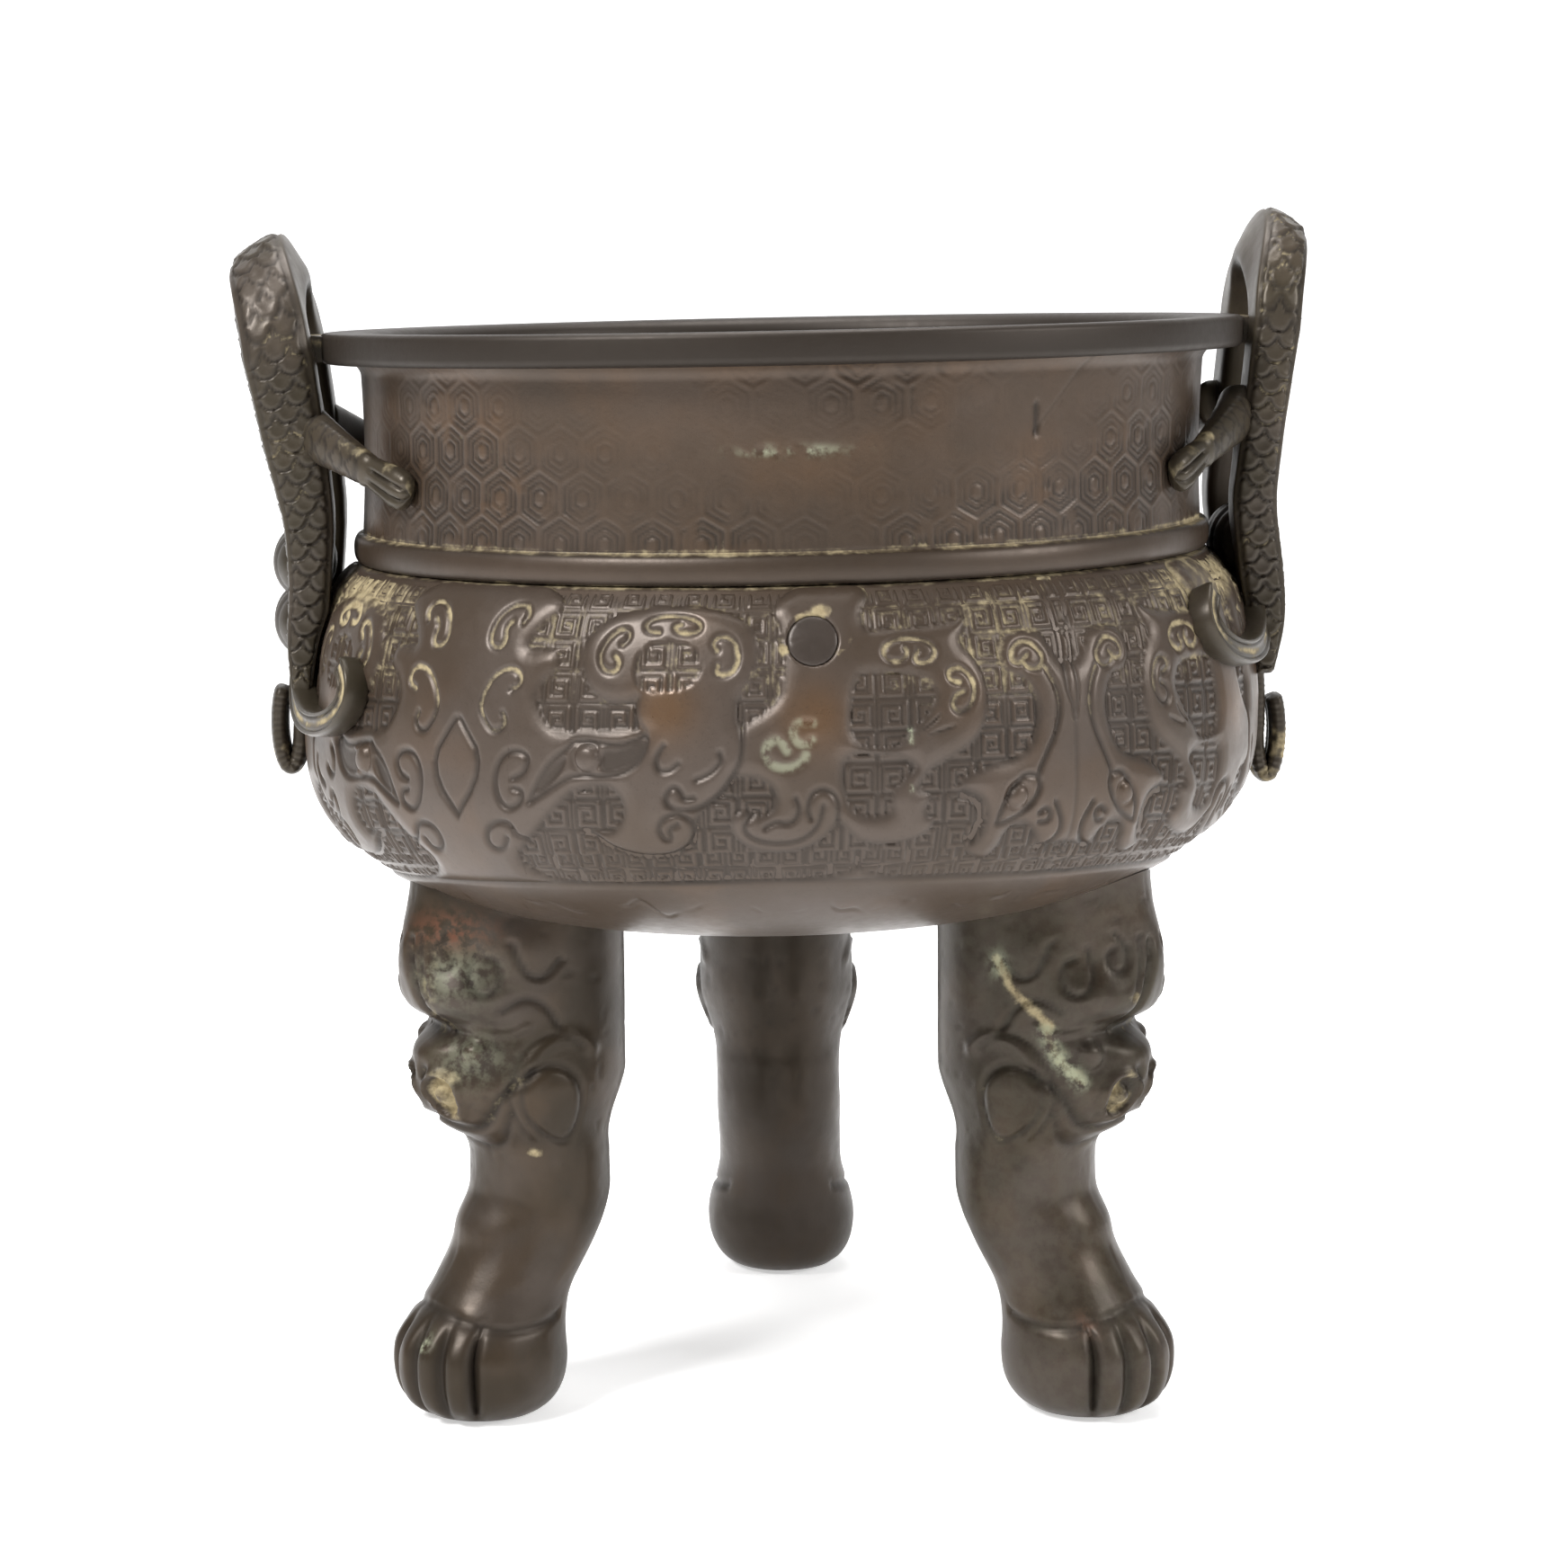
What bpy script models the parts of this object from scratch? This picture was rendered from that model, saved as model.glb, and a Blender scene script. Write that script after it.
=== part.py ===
"""Bronze tripod censer: a turned vessel on three lion-headed paw legs, with two scaled arch handles.

Metres, +Z up, origin on the floor under the middle of the piece.  The front looks towards -Y.
The vessel was cast hollow in one; legs and handles were cast apart and soldered on.
"""
from math import cos, hypot, pi, radians, sin, tan

import bmesh
import bpy
import numpy as np
from mathutils import Matrix

MM = 0.001
GAP = 0.3 * MM                  # solder line between castings

# Vessel
SEGMENTS = 44
WALL = 3.0 * MM
LIP_R = 94.5 * MM
LIP_TOP = 219.6 * MM
LIP_THICK = 6.2 * MM
LIP_ROUND = 1.5 * MM            # rounding of the lip's outer edges
NECK_R = 86.4 * MM
NECK_WAIST = 0.6 * MM           # how much the neck draws in half way down
NECK_COVE = 1.6 * MM            # hollow curve under the lip
BEAD_TOP = 178.8 * MM
BEAD_LOW = 173.0 * MM
BEAD_PROUD = 1.9 * MM
SHOULDER_R = 85.6 * MM          # where the belly starts, under the bead
BELLY_R = 98.4 * MM
BELLY_WIDEST = 135.5 * MM
BELLY_LOW = 99.0 * MM
BELLY_UPPER_POWER = 2.1         # roundness of the shoulder curve
BELLY_DROP_POWER = 2.2          # roundness of the curve down to the underside
BELLY_FLOOR_POWER = 3.3
SAG = radians(1.15)             # rim and bands run up to the right by this much

# Frieze: six faces round the belly, three masks and three pairs of dragons between them
FRIEZE_HIGH = 0.9 * MM
FRIEZE_ROOT = 1.4 * MM          # how far a raised band reaches into the wall
MASK_AZIMUTHS = (-38.4, 106.2, 201.6)
DRAGON_AZIMUTHS = (33.9, 153.9, 249.3)
HANDLE_REACH = 42.0             # raised bands keep this many degrees off a handle's middle
MASK_Z = 136.0 * MM
MASK_HALF = 15.0 * MM
NOSE_WIDE = 9.0 * MM
BAND_WIDE = 5.0 * MM
EYE_Z = 134.0 * MM
EYE_SLANT = 4.0 * MM
DRAGON_EYE_Z = 127.0 * MM
HORN_Z = 152.0 * MM
HORN_HALF = 9.0 * MM
JAW_Z = 122.5 * MM
JAW_HALF = 5.5 * MM

# Repair plug let into the shoulder
PLUG_R = 4.8 * MM
PLUG_AZIMUTH = 3.4
PLUG_Z = 163.6 * MM
PLUG_PROUD = 0.5 * MM
PLUG_HOLE_REACH = 3.0 * WALL

# Legs
LEG_AZIMUTHS = {"leg_front_left": -60.0, "leg_front_right": 60.0, "leg_back": 180.0}
LEG_SWAY = {"leg_front_left": (0.0, 1.5 * MM), "leg_front_right": (-1.6 * MM, 1.5 * MM),
            "leg_back": (2.0 * MM, -0.3 * MM)}      # sideways shift at the top and at the foot
LEG_TOP = 120.0 * MM            # each leg runs into the belly and is cut off by it
SHANK_R = 14.0 * MM             # half width; it is SHANK_DEEPER deeper than wide
SHANK_DEEPER = 0.4 * MM
SHANK_ROWS = 4
HEAD_ROWS = 11
FOOT_INSET = 27.2 * MM          # middle of a foot, this far inside the belly's widest circle
FOOT_HALF_LENGTH = 17.3 * MM
FOOT_HALF_WIDTH = 17.0 * MM
FOOT_HEIGHT = 24.0 * MM
FOOT_LEVELS = (0.0, 0.06, 0.2, 0.4, 0.62, 0.82, 1.0)      # rows of points, as shares of its height
SOLE_SHRINK = 0.50              # share of the foot's size that stands on the floor
SOLE_POWER = 2.4                # roundness of the paw's lower edge
KNEE_INSET = 40.8 * MM
KNEE_Z = 46.0 * MM
HEAD_INSET = 36.8 * MM
HEAD_HALF_DEPTH = 21.9 * MM
HEAD_HALF_WIDTH = 17.0 * MM
HEAD_LOW = 56.0 * MM
HEAD_TOP = 98.0 * MM
TOE_DEPTH = 1.5 * MM
TOE_GROOVES = (12.0, 35.0, 58.0)                    # degrees to each side of straight out
TOE_GROOVE_WIDE = 5.0           # degrees
LION_RELIEF = (                 # degrees from straight out, height, spread of each, how far it stands off
    (0.0, 94.5 * MM, 26.0, 9.5 * MM, 3.8 * MM),         # forehead
    (36.0, 88.0 * MM, 24.0, 4.5 * MM, 2.6 * MM),        # brows
    (0.0, 80.6 * MM, 44.0, 2.6 * MM, -5.4 * MM),        # bridge of the nose
    (46.0, 78.5 * MM, 11.0, 3.2 * MM, 1.6 * MM),        # eyes
    (0.0, 73.0 * MM, 26.0, 4.4 * MM, 0.9 * MM),         # snout
    (19.0, 66.5 * MM, 10.0, 3.6 * MM, 1.2 * MM),        # fangs
    (0.0, 60.5 * MM, 48.0, 3.0 * MM, 2.2 * MM),         # jaw
    (92.0, 67.0 * MM, 20.0, 8.0 * MM, 1.3 * MM),        # cheek discs
    (74.0, 97.0 * MM, 16.0, 6.0 * MM, 1.2 * MM),        # ears
    (0.0, 39.5 * MM, 44.0, 4.5 * MM, 1.9 * MM),         # knee
)
LEG_COLUMNS = (0.0, 12.0, 23.5, 35.0, 46.5, 58.0, 75.0, 95.0, 120.0, 150.0, 180.0)

# Handles
ARCH_HALF = 17.0 * MM           # half the spacing of the two strands, middle to middle
ARCH_BAR = 13.0 * MM            # thickness of the bar in the plane of the arch
STRAND_LOW = 148.0 * MM
STRAND_STEPS = 7
ARCH_STEPS = 10
STRAND_TAPER = 0.62             # share of the bar's thickness left at the foot of a strand
TAPER_LOW = 160.0 * MM
TAPER_HIGH = 205.0 * MM
RIBBON_THICK = 4.4 * MM         # how far the curled tail ends stand off the belly
RIBBON_WIDE = 6.0 * MM
HOOK_HIGH = 10.5 * MM
HOOK_START = 172.0              # degrees of the curl, from the strand round to the tip
HOOK_END = 400.0
HOOK_SHRINK = 0.62              # the curl tightens to this share of its size
HOOK_TIP = 0.72                 # and narrows to this share of its width
HOOK_STEPS = 12
LIMB_WIDE = 8.0 * MM
LIMB_ROOT_Z = 201.0 * MM
LIMB_SWELL = 1.0 * MM           # how far a limb arches between the strand and its paw
PAW_Z = 188.5 * MM
SADDLE_THICK = 5.4 * MM
SADDLE_INTO_LIP = 3.0 * MM
SADDLE_SHORT = 4.0 * MM         # how far the seat stays inside the bar's outer face
BRIDGE_HALF = ARCH_HALF - 2.0 * MM          # seat and lobes end inside the strands
LOBE_R = 6.5 * MM
LOBE_TOP = 173.0 * MM
LOBE_STEP = 12.0 * MM
LOBE_STEPS = 6
LOBE_TALL = 1.2                 # lobes are this much taller than deep
TAIL_WIDE = 10.0 * MM
TAIL_THICK = 2.8 * MM
TAIL_CURL_OUT = 2.7 * MM
TAIL_CURL_UP = 9.0 * MM
TAIL_CURL_START = -160.0        # degrees of the curl's tall oval
TAIL_CURL_END = 60.0


def smoothstep(low, high, x):
    """0 below low, 1 above high, and 3t^2 - 2t^3 in between."""
    t = np.clip((x - low) / (high - low), 0.0, 1.0)
    return t * t * (3.0 - 2.0 * t)


def material(name, colour, roughness, metallic):
    made = bpy.data.materials.new(name)
    made.use_nodes = True
    shader = made.node_tree.nodes["Principled BSDF"]
    shader.inputs["Base Color"].default_value = (*colour, 1.0)
    shader.inputs["Roughness"].default_value = roughness
    shader.inputs["Metallic"].default_value = metallic
    return made


def solid(name, points, faces, sag=True):
    """A mesh object from an array of points, with its faces turned outwards."""
    mesh = bpy.data.meshes.new(name)
    mesh.from_pydata([tuple(p) for p in np.asarray(points, dtype=float)], [], faces)
    tidy = bmesh.new()
    tidy.from_mesh(mesh)
    bmesh.ops.recalc_face_normals(tidy, faces=tidy.faces)
    tidy.to_mesh(mesh)
    tidy.free()
    if sag:
        lean = Matrix.Identity(4)
        lean[2][0] = tan(SAG)
        mesh.transform(lean)
    mesh.shade_smooth()
    mesh.set_sharp_from_angle(angle=radians(35.0))
    made = bpy.data.objects.new(name, mesh)
    bpy.context.scene.collection.objects.link(made)
    return made


def boolean(target, tool, operation):
    """Join the tool to the target or cut it away, and keep the tool as a hidden guide."""
    change = target.modifiers.new(tool.name, "BOOLEAN")
    change.operation = operation
    change.solver = "EXACT"
    change.object = tool
    tool.hide_render = True
    tool.display_type = "WIRE"


def grid_faces(rows, columns):
    """Quads of a closed tube of rings, with a flat face on each end."""
    faces = []
    for i in range(rows - 1):
        for j in range(columns):
            k = (j + 1) % columns
            faces.append((i * columns + j, i * columns + k,
                          (i + 1) * columns + k, (i + 1) * columns + j))
    faces.append(tuple(range(columns)))
    faces.append(tuple((rows - 1) * columns + j for j in range(columns)))
    return faces


def turned(name, profile):
    """Turn a closed outline of (radius, height) round the Z axis; radius 0 becomes one point."""
    points = []
    rings = []
    for radius, height in profile:
        if radius < 1e-7:
            rings.append([len(points)] * SEGMENTS)
            points.append((0.0, 0.0, height))
        else:
            start = len(points)
            for k in range(SEGMENTS):
                angle = 2.0 * pi * k / SEGMENTS
                points.append((radius * sin(angle), -radius * cos(angle), height))
            rings.append(list(range(start, start + SEGMENTS)))
    faces = []
    for i, ring in enumerate(rings):
        after = rings[(i + 1) % len(rings)]
        if ring[0] == ring[1] and after[0] == after[1]:
            continue
        for k in range(SEGMENTS):
            m = (k + 1) % SEGMENTS
            corners = [ring[k], ring[m], after[m], after[k]]
            faces.append(tuple(dict.fromkeys(corners)))
    return solid(name, points, faces)


def body_radius(z, inset=0.0):
    """Outer radius of shoulder and belly: two quarter ovals that meet at the widest height."""
    wide = BELLY_R - inset
    z = np.asarray(z, dtype=float)
    top = SHOULDER_R - inset
    up = np.clip((z - BELLY_WIDEST) / (BEAD_LOW - BELLY_WIDEST), 0.0, 1.0)
    upper = top + (wide - top) * (1.0 - up ** BELLY_UPPER_POWER) ** (1.0 / BELLY_UPPER_POWER)
    drop = BELLY_WIDEST - (BELLY_LOW + inset)
    down = np.clip((BELLY_WIDEST - z) / drop, 0.0, 1.0)
    lower = wide * (1.0 - down ** BELLY_DROP_POWER) ** (1.0 / BELLY_FLOOR_POWER)
    return np.where(z > BELLY_WIDEST, upper, lower)


def belly_outline(upper_steps, lower_steps, inset=0.0):
    """Points of shoulder and belly from under the bead down to the middle of the underside."""
    up = np.sin(np.linspace(pi / 2.0, 0.0, upper_steps, endpoint=False))
    heights = list(BELLY_WIDEST + (BEAD_LOW - BELLY_WIDEST) * up)
    drop = BELLY_WIDEST - (BELLY_LOW + inset)
    share = np.sin(np.linspace(0.0, pi / 2.0, lower_steps)) ** 0.8
    heights += list(BELLY_WIDEST - drop * share)
    outline = [(float(body_radius(z, inset)), float(z)) for z in heights]
    outline[-1] = (0.0, BELLY_LOW + inset)
    return outline


def outer_outline(grow=0.0):
    """The vessel's outside from the lip's top edge down, grown outwards by a clearance."""
    low = LIP_TOP - LIP_THICK
    points = [(LIP_R - LIP_ROUND, LIP_TOP + grow), (LIP_R + grow, LIP_TOP - LIP_ROUND),
              (LIP_R + grow, low + LIP_ROUND), (LIP_R - LIP_ROUND, low - grow),
              (NECK_R + NECK_COVE + grow, low - grow),
              (NECK_R + grow, low - NECK_COVE - grow)]
    middle = 0.5 * (low + BEAD_TOP)
    points.append((NECK_R - NECK_WAIST + grow, middle))
    points.append((NECK_R + grow, BEAD_TOP + grow))
    half = 0.5 * (BEAD_TOP - BEAD_LOW)
    for turn in (40.0, 0.0, -40.0):
        points.append((NECK_R + BEAD_PROUD * cos(radians(turn)) ** 0.5 + grow,
                       BEAD_LOW + half + (half + grow) * sin(radians(turn))))
    belly = belly_outline(5, 9)
    points += [(radius + grow, z) for radius, z in belly[:5]]
    for (r0, z0), (r1, z1), (r2, z2) in zip(belly[4:], belly[5:], belly[6:]):
        length = hypot(r2 - r0, z2 - z0)
        points.append((r1 - grow * (z2 - z0) / length, z1 + grow * (r2 - r0) / length))
    points.append((0.0, BELLY_LOW - grow))
    return points


def vessel():
    inside = belly_outline(3, 6, WALL)
    inside.reverse()
    inside.append((NECK_R - WALL, BEAD_TOP))
    inside.append((NECK_R - WALL, LIP_TOP - LIP_ROUND))
    inside.append((NECK_R - WALL + LIP_ROUND, LIP_TOP))
    return turned("vessel", outer_outline() + inside)


def filled_vessel():
    """The vessel's outside without its hollow, grown by the solder gap: it trims what is fixed on."""
    return turned("vessel_trim", outer_outline(GAP) + [(0.0, LIP_TOP + GAP)])


def tube(name, centres, sides, ups, half_side, half_up, corners=8, power=3.0, sag=True):
    """Carry a rounded section along a path; sides and ups are the section's two directions."""
    angle = np.linspace(0.0, 2.0 * pi, corners, endpoint=False) + pi / corners
    across = np.sign(np.cos(angle)) * np.abs(np.cos(angle)) ** (2.0 / power)
    along = np.sign(np.sin(angle)) * np.abs(np.sin(angle)) ** (2.0 / power)
    points = (centres[:, None, :]
              + (half_side[:, None] * across)[:, :, None] * sides[:, None, :]
              + (half_up[:, None] * along)[:, :, None] * ups[:, None, :])
    return solid(name, points.reshape(-1, 3), grid_faces(len(centres), corners), sag)


def unit(vectors):
    return vectors / np.linalg.norm(vectors, axis=-1, keepdims=True)


def on_body(azimuth, z, lift):
    """Points lifted off the belly at azimuths in degrees, 0 at the front and + to the right."""
    angle = np.radians(azimuth)
    radius = body_radius(z) + lift
    return np.stack([radius * np.sin(angle), -radius * np.cos(angle), z], axis=-1)


def ribbon(name, azimuth, z, wide, low, high, corners=4):
    """A band that lies on the belly along a path, from a depth under the skin to a height over it."""
    path = on_body(azimuth, z, 0.5 * (high - low))
    forward = unit(np.gradient(path, axis=0))
    steep = np.gradient(body_radius(np.array([z - 0.5 * MM, z + 0.5 * MM])), axis=0)[0] / MM
    angle = np.radians(azimuth)
    outward = unit(np.stack([np.sin(angle), -np.cos(angle), -steep], axis=-1))
    side = unit(np.cross(forward, outward))
    outward = np.cross(side, forward)
    count = len(azimuth)
    wide = np.broadcast_to(wide, count) * 0.5
    return tube(name, path, side, outward, wide, np.full(count, 0.5 * (high + low)), corners,
                2.0 if corners > 4 else 1e6)


def scroll(middle_az, middle_z, size_az, size_z, start, end, shrink, steps):
    """A C or J curve: an oval arc from start to end degrees that shrinks towards its end."""
    turn = np.radians(np.linspace(start, end, steps))
    scale = np.linspace(1.0, shrink, steps)
    return middle_az + size_az * scale * np.cos(turn), middle_z + size_z * scale * np.sin(turn)


def clear_of_handles(azimuth):
    """True where a raised band keeps off the side of both handles."""
    wrapped = (azimuth + 180.0) % 360.0 - 180.0
    return np.all(np.abs(np.abs(wrapped) - 90.0) > HANDLE_REACH)


def mask_bands(middle):
    """Raised bands of one mask as (azimuths, heights, width): nose, eyes, horns and jaw curls."""
    line = np.linspace(-1.0, 1.0, 4)
    bands = [(middle + 0.0 * line, MASK_Z + MASK_HALF * line, NOSE_WIDE)]
    for side in (-1.0, 1.0):
        bands.append((middle + side * (16.0 + 7.0 * line), EYE_Z + EYE_SLANT * line, BAND_WIDE))
        az, z = scroll(0.0, HORN_Z, 9.0, HORN_HALF, 200.0, -60.0, 0.8, 8)
        bands.append((middle + side * (27.0 + az), z, BAND_WIDE))
        az, z = scroll(0.0, JAW_Z, 6.5, JAW_HALF, 200.0, 400.0, 0.7, 7)
        bands.append((middle + side * (29.5 + az), z, 0.8 * BAND_WIDE))
    return bands


def dragon_bands(middle):
    """Raised bands of a pair of dragons that face each other: bodies and eyes."""
    line = np.linspace(-1.0, 1.0, 3)
    bands = []
    for side in (-1.0, 1.0):
        az, z = scroll(0.0, HORN_Z - 0.2 * HORN_HALF, 8.0, 1.15 * HORN_HALF, 120.0, -110.0, 0.9, 8)
        bands.append((middle + side * (9.0 + az), z, BAND_WIDE))
        bands.append((middle + side * (8.5 + 3.5 * line), DRAGON_EYE_Z + 0.6 * EYE_SLANT * line,
                      BAND_WIDE))
    return bands


def frieze(name, faces, middles):
    """The raised bands of several faces as one guide of separate closed strips."""
    bands = [band for middle in middles for band in faces(middle) if clear_of_handles(band[0])]
    merged = bmesh.new()
    for azimuth, z, wide in bands:
        strip = ribbon(name, azimuth, z, wide, FRIEZE_ROOT, FRIEZE_HIGH)
        merged.from_mesh(strip.data)
        bpy.data.objects.remove(strip)
    mesh = bpy.data.meshes.new(name)
    merged.to_mesh(mesh)
    merged.free()
    made = bpy.data.objects.new(name, mesh)
    bpy.context.scene.collection.objects.link(made)
    return made


def disc_on_body(name, radius, low, high, corners=16):
    """A short round peg set square to the shoulder at the plug's place."""
    slope = float(body_radius(PLUG_Z + MM) - body_radius(PLUG_Z - MM)) / (2.0 * MM)
    out = unit(np.array([sin(radians(PLUG_AZIMUTH)), -cos(radians(PLUG_AZIMUTH)), -slope]))
    side = unit(np.cross(out, np.array([0.0, 0.0, 1.0])))
    up = np.cross(side, out)
    foot = on_body(np.array([PLUG_AZIMUTH]), np.array([PLUG_Z]), 0.0)[0]
    centres = np.array([foot - low * out, foot + high * out])
    return tube(name, centres, np.array([side, side]), np.array([up, up]),
                np.full(2, radius), np.full(2, radius), corners, 2.0)


def leg_middle(z):
    """Distance of the leg's middle line from the vessel's axis: out at the paw, in at the knee."""
    paw = smoothstep(0.55 * FOOT_HEIGHT, KNEE_Z, z)
    low = FOOT_INSET + (KNEE_INSET - FOOT_INSET) * paw
    inset = low + (HEAD_INSET - KNEE_INSET) * smoothstep(KNEE_Z + 6.0 * MM, HEAD_LOW + 12.0 * MM, z)
    return BELLY_R - inset


def leg_halves(z):
    """Half depth (radial) and half width (tangential) of the leg at a height."""
    bulge = np.clip((z - 0.5 * FOOT_HEIGHT) / (0.5 * FOOT_HEIGHT), -1.0, 1.0)
    low = np.where(bulge < 0.0, SOLE_SHRINK + (1.0 - SOLE_SHRINK) * (1.0 - np.abs(bulge) ** SOLE_POWER)
                   ** 0.5, 1.0)
    ankle = smoothstep(0.5 * FOOT_HEIGHT, 1.15 * FOOT_HEIGHT, z)
    head = smoothstep(HEAD_LOW - 2.0 * MM, HEAD_LOW + 14.0 * MM, z)
    deep = low * FOOT_HALF_LENGTH + (SHANK_R + SHANK_DEEPER - low * FOOT_HALF_LENGTH) * ankle
    wide = low * FOOT_HALF_WIDTH + (SHANK_R - low * FOOT_HALF_WIDTH) * ankle
    return deep + (HEAD_HALF_DEPTH - SHANK_R) * head, wide + (HEAD_HALF_WIDTH - SHANK_R) * head


def leg_relief(angle, z):
    """How far the lion's head, knee and toes stand off the plain leg, by degrees and height."""
    toes = np.zeros(np.broadcast(angle, z).shape)
    for groove in TOE_GROOVES:
        toes -= TOE_DEPTH * np.exp(-((np.abs(angle) - groove) / TOE_GROOVE_WIDE) ** 2)
    toes = toes + 0.6 * TOE_DEPTH * (np.abs(angle) < TOE_GROOVES[-1])
    relief = toes * smoothstep(0.0, 0.17 * FOOT_HEIGHT, z)
    relief *= 1.0 - smoothstep(0.62 * FOOT_HEIGHT, FOOT_HEIGHT, z)
    for at_angle, at_z, spread_angle, spread_z, height in LION_RELIEF:
        across = (np.abs(angle) - at_angle) / spread_angle
        up = (z - at_z) / spread_z
        relief += height * np.exp(-across ** 2 - up ** 2)
    return relief


def leg(name, trim):
    azimuth = radians(LEG_AZIMUTHS[name])
    top_shift, foot_shift = LEG_SWAY[name]
    column = list(LEG_COLUMNS) + [-a for a in LEG_COLUMNS[-2:0:-1]]
    foot = np.array(FOOT_LEVELS) * FOOT_HEIGHT
    shank = np.linspace(FOOT_HEIGHT, HEAD_LOW, SHANK_ROWS)[1:]
    head = np.linspace(HEAD_LOW, HEAD_TOP, HEAD_ROWS + 1)[1:]
    z = np.concatenate([foot, shank, head, [LEG_TOP]])[:, None]
    angle = np.array(column)[None, :]
    deep, wide = leg_halves(z)
    relief = leg_relief(angle, z)
    out = leg_middle(z) + (deep + relief) * np.cos(np.radians(angle))
    side = (wide + relief) * np.sin(np.radians(angle))
    shift = foot_shift + (top_shift - foot_shift) * z / LEG_TOP
    x = out * sin(azimuth) + side * cos(azimuth) + shift
    y = -out * cos(azimuth) + side * sin(azimuth)
    points = np.stack([x, y, np.broadcast_to(z, x.shape)], axis=-1)
    made = solid(name, points.reshape(-1, 3), grid_faces(len(z), len(column)), sag=False)
    boolean(made, trim, "DIFFERENCE")
    return made


class HandleFrame:
    """Places a handle: u runs outwards from the vessel, t along the rim, z up."""

    def __init__(self, side, turn):
        self.side = side
        angle = radians(90.0 * side + turn)
        self.out = np.array([sin(angle), -cos(angle), 0.0])
        self.along = np.array([0.0, 0.0, 1.0])
        self.along = np.cross(self.along, self.out)

    def at(self, u, t, z):
        u, t, z = np.broadcast_arrays(u, t, z)
        up = np.array([0.0, 0.0, 1.0])
        return u[..., None] * self.out + t[..., None] * self.along + z[..., None] * up

    def toward(self, u, t, z):
        return unit(self.at(np.asarray(u, float), np.asarray(t, float), np.asarray(z, float)))


BAR_HEIGHTS = (148.0 * MM, 158.0 * MM, 168.0 * MM, 182.0 * MM, 198.0 * MM, 214.0 * MM, 228.0 * MM,
               242.0 * MM)
# The strands' feet lie on the belly and the rest stands clear of the lip, so each height's outer
# face is measured out from the one or the other
BAR_FROM = (BELLY_R, BELLY_R, BELLY_R, LIP_R, LIP_R, LIP_R, LIP_R, LIP_R)
LEFT_HANDLE = {
    "side": -1.0, "turn": 3.0, "crown": 238.5 * MM, "tilt": radians(40.0),
    "outside": (1.6 * MM, 2.6 * MM, 1.8 * MM, 6.4 * MM, 10.3 * MM, 13.7 * MM, 16.3 * MM, 16.3 * MM),
    "width": (7.0 * MM, 8.0 * MM, 8.2 * MM, 10.0 * MM, 12.6 * MM, 13.8 * MM, 13.2 * MM, 12.6 * MM),
    "hook_offset": 21.0, "hook_z": 152.0 * MM, "hook_reach": 13.0,
    "lobe_proud": 4.5 * MM, "tail_low": 129.0 * MM,
    "paws": (-55.0, -119.0),
}
RIGHT_HANDLE = {
    "side": 1.0, "turn": 2.0, "crown": 240.3 * MM, "tilt": radians(40.0),
    "outside": (1.6 * MM, 4.0 * MM, 3.2 * MM, 5.1 * MM, 6.5 * MM, 8.8 * MM, 10.5 * MM, 11.8 * MM),
    "width": (7.0 * MM, 8.0 * MM, 9.0 * MM, 9.0 * MM, 8.6 * MM, 9.4 * MM, 10.0 * MM, 10.4 * MM),
    "hook_offset": 24.0, "hook_z": 162.0 * MM, "hook_reach": 14.5,
    "lobe_proud": 1.1 * MM, "tail_low": 122.0 * MM,
    "paws": (61.0, 121.0),
}


def outer_face(spec, z):
    """Distance of a handle's outer face from the middle of the piece at a height."""
    return np.interp(z, BAR_HEIGHTS, np.add(BAR_FROM, spec["outside"]))


def handle_bar(name, frame, spec):
    """The arch and its two strands: an upside-down U that leans outwards."""
    centre_z = spec["crown"] - 0.5 * ARCH_BAR - ARCH_HALF
    strand = np.linspace(STRAND_LOW, centre_z, STRAND_STEPS)
    turn = np.radians(np.linspace(0.0, 180.0, ARCH_STEPS))[1:-1]
    straight = np.full(STRAND_STEPS, ARCH_HALF)
    t = np.concatenate([-straight, -ARCH_HALF * np.cos(turn), straight])
    z = np.concatenate([strand, centre_z + ARCH_HALF * np.sin(turn), strand[::-1]])
    outer = outer_face(spec, z)
    width = np.interp(z, BAR_HEIGHTS, spec["width"])
    centres = frame.at(outer - 0.5 * width, t, z)
    forward = unit(np.gradient(centres, axis=0))
    tilt = spec["tilt"] * smoothstep(centre_z, spec["crown"], z)[:, None]
    out = np.cos(tilt) * frame.out - np.sin(tilt) * np.array([0.0, 0.0, 1.0])
    up = unit(np.cross(out, forward))
    out = np.cross(forward, up)
    taper = 0.5 * (STRAND_TAPER + (1.0 - STRAND_TAPER) * smoothstep(TAPER_LOW, TAPER_HIGH, z))
    return tube(name, centres, out, up, 0.5 * width, ARCH_BAR * taper, 8, 4.0)


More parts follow.
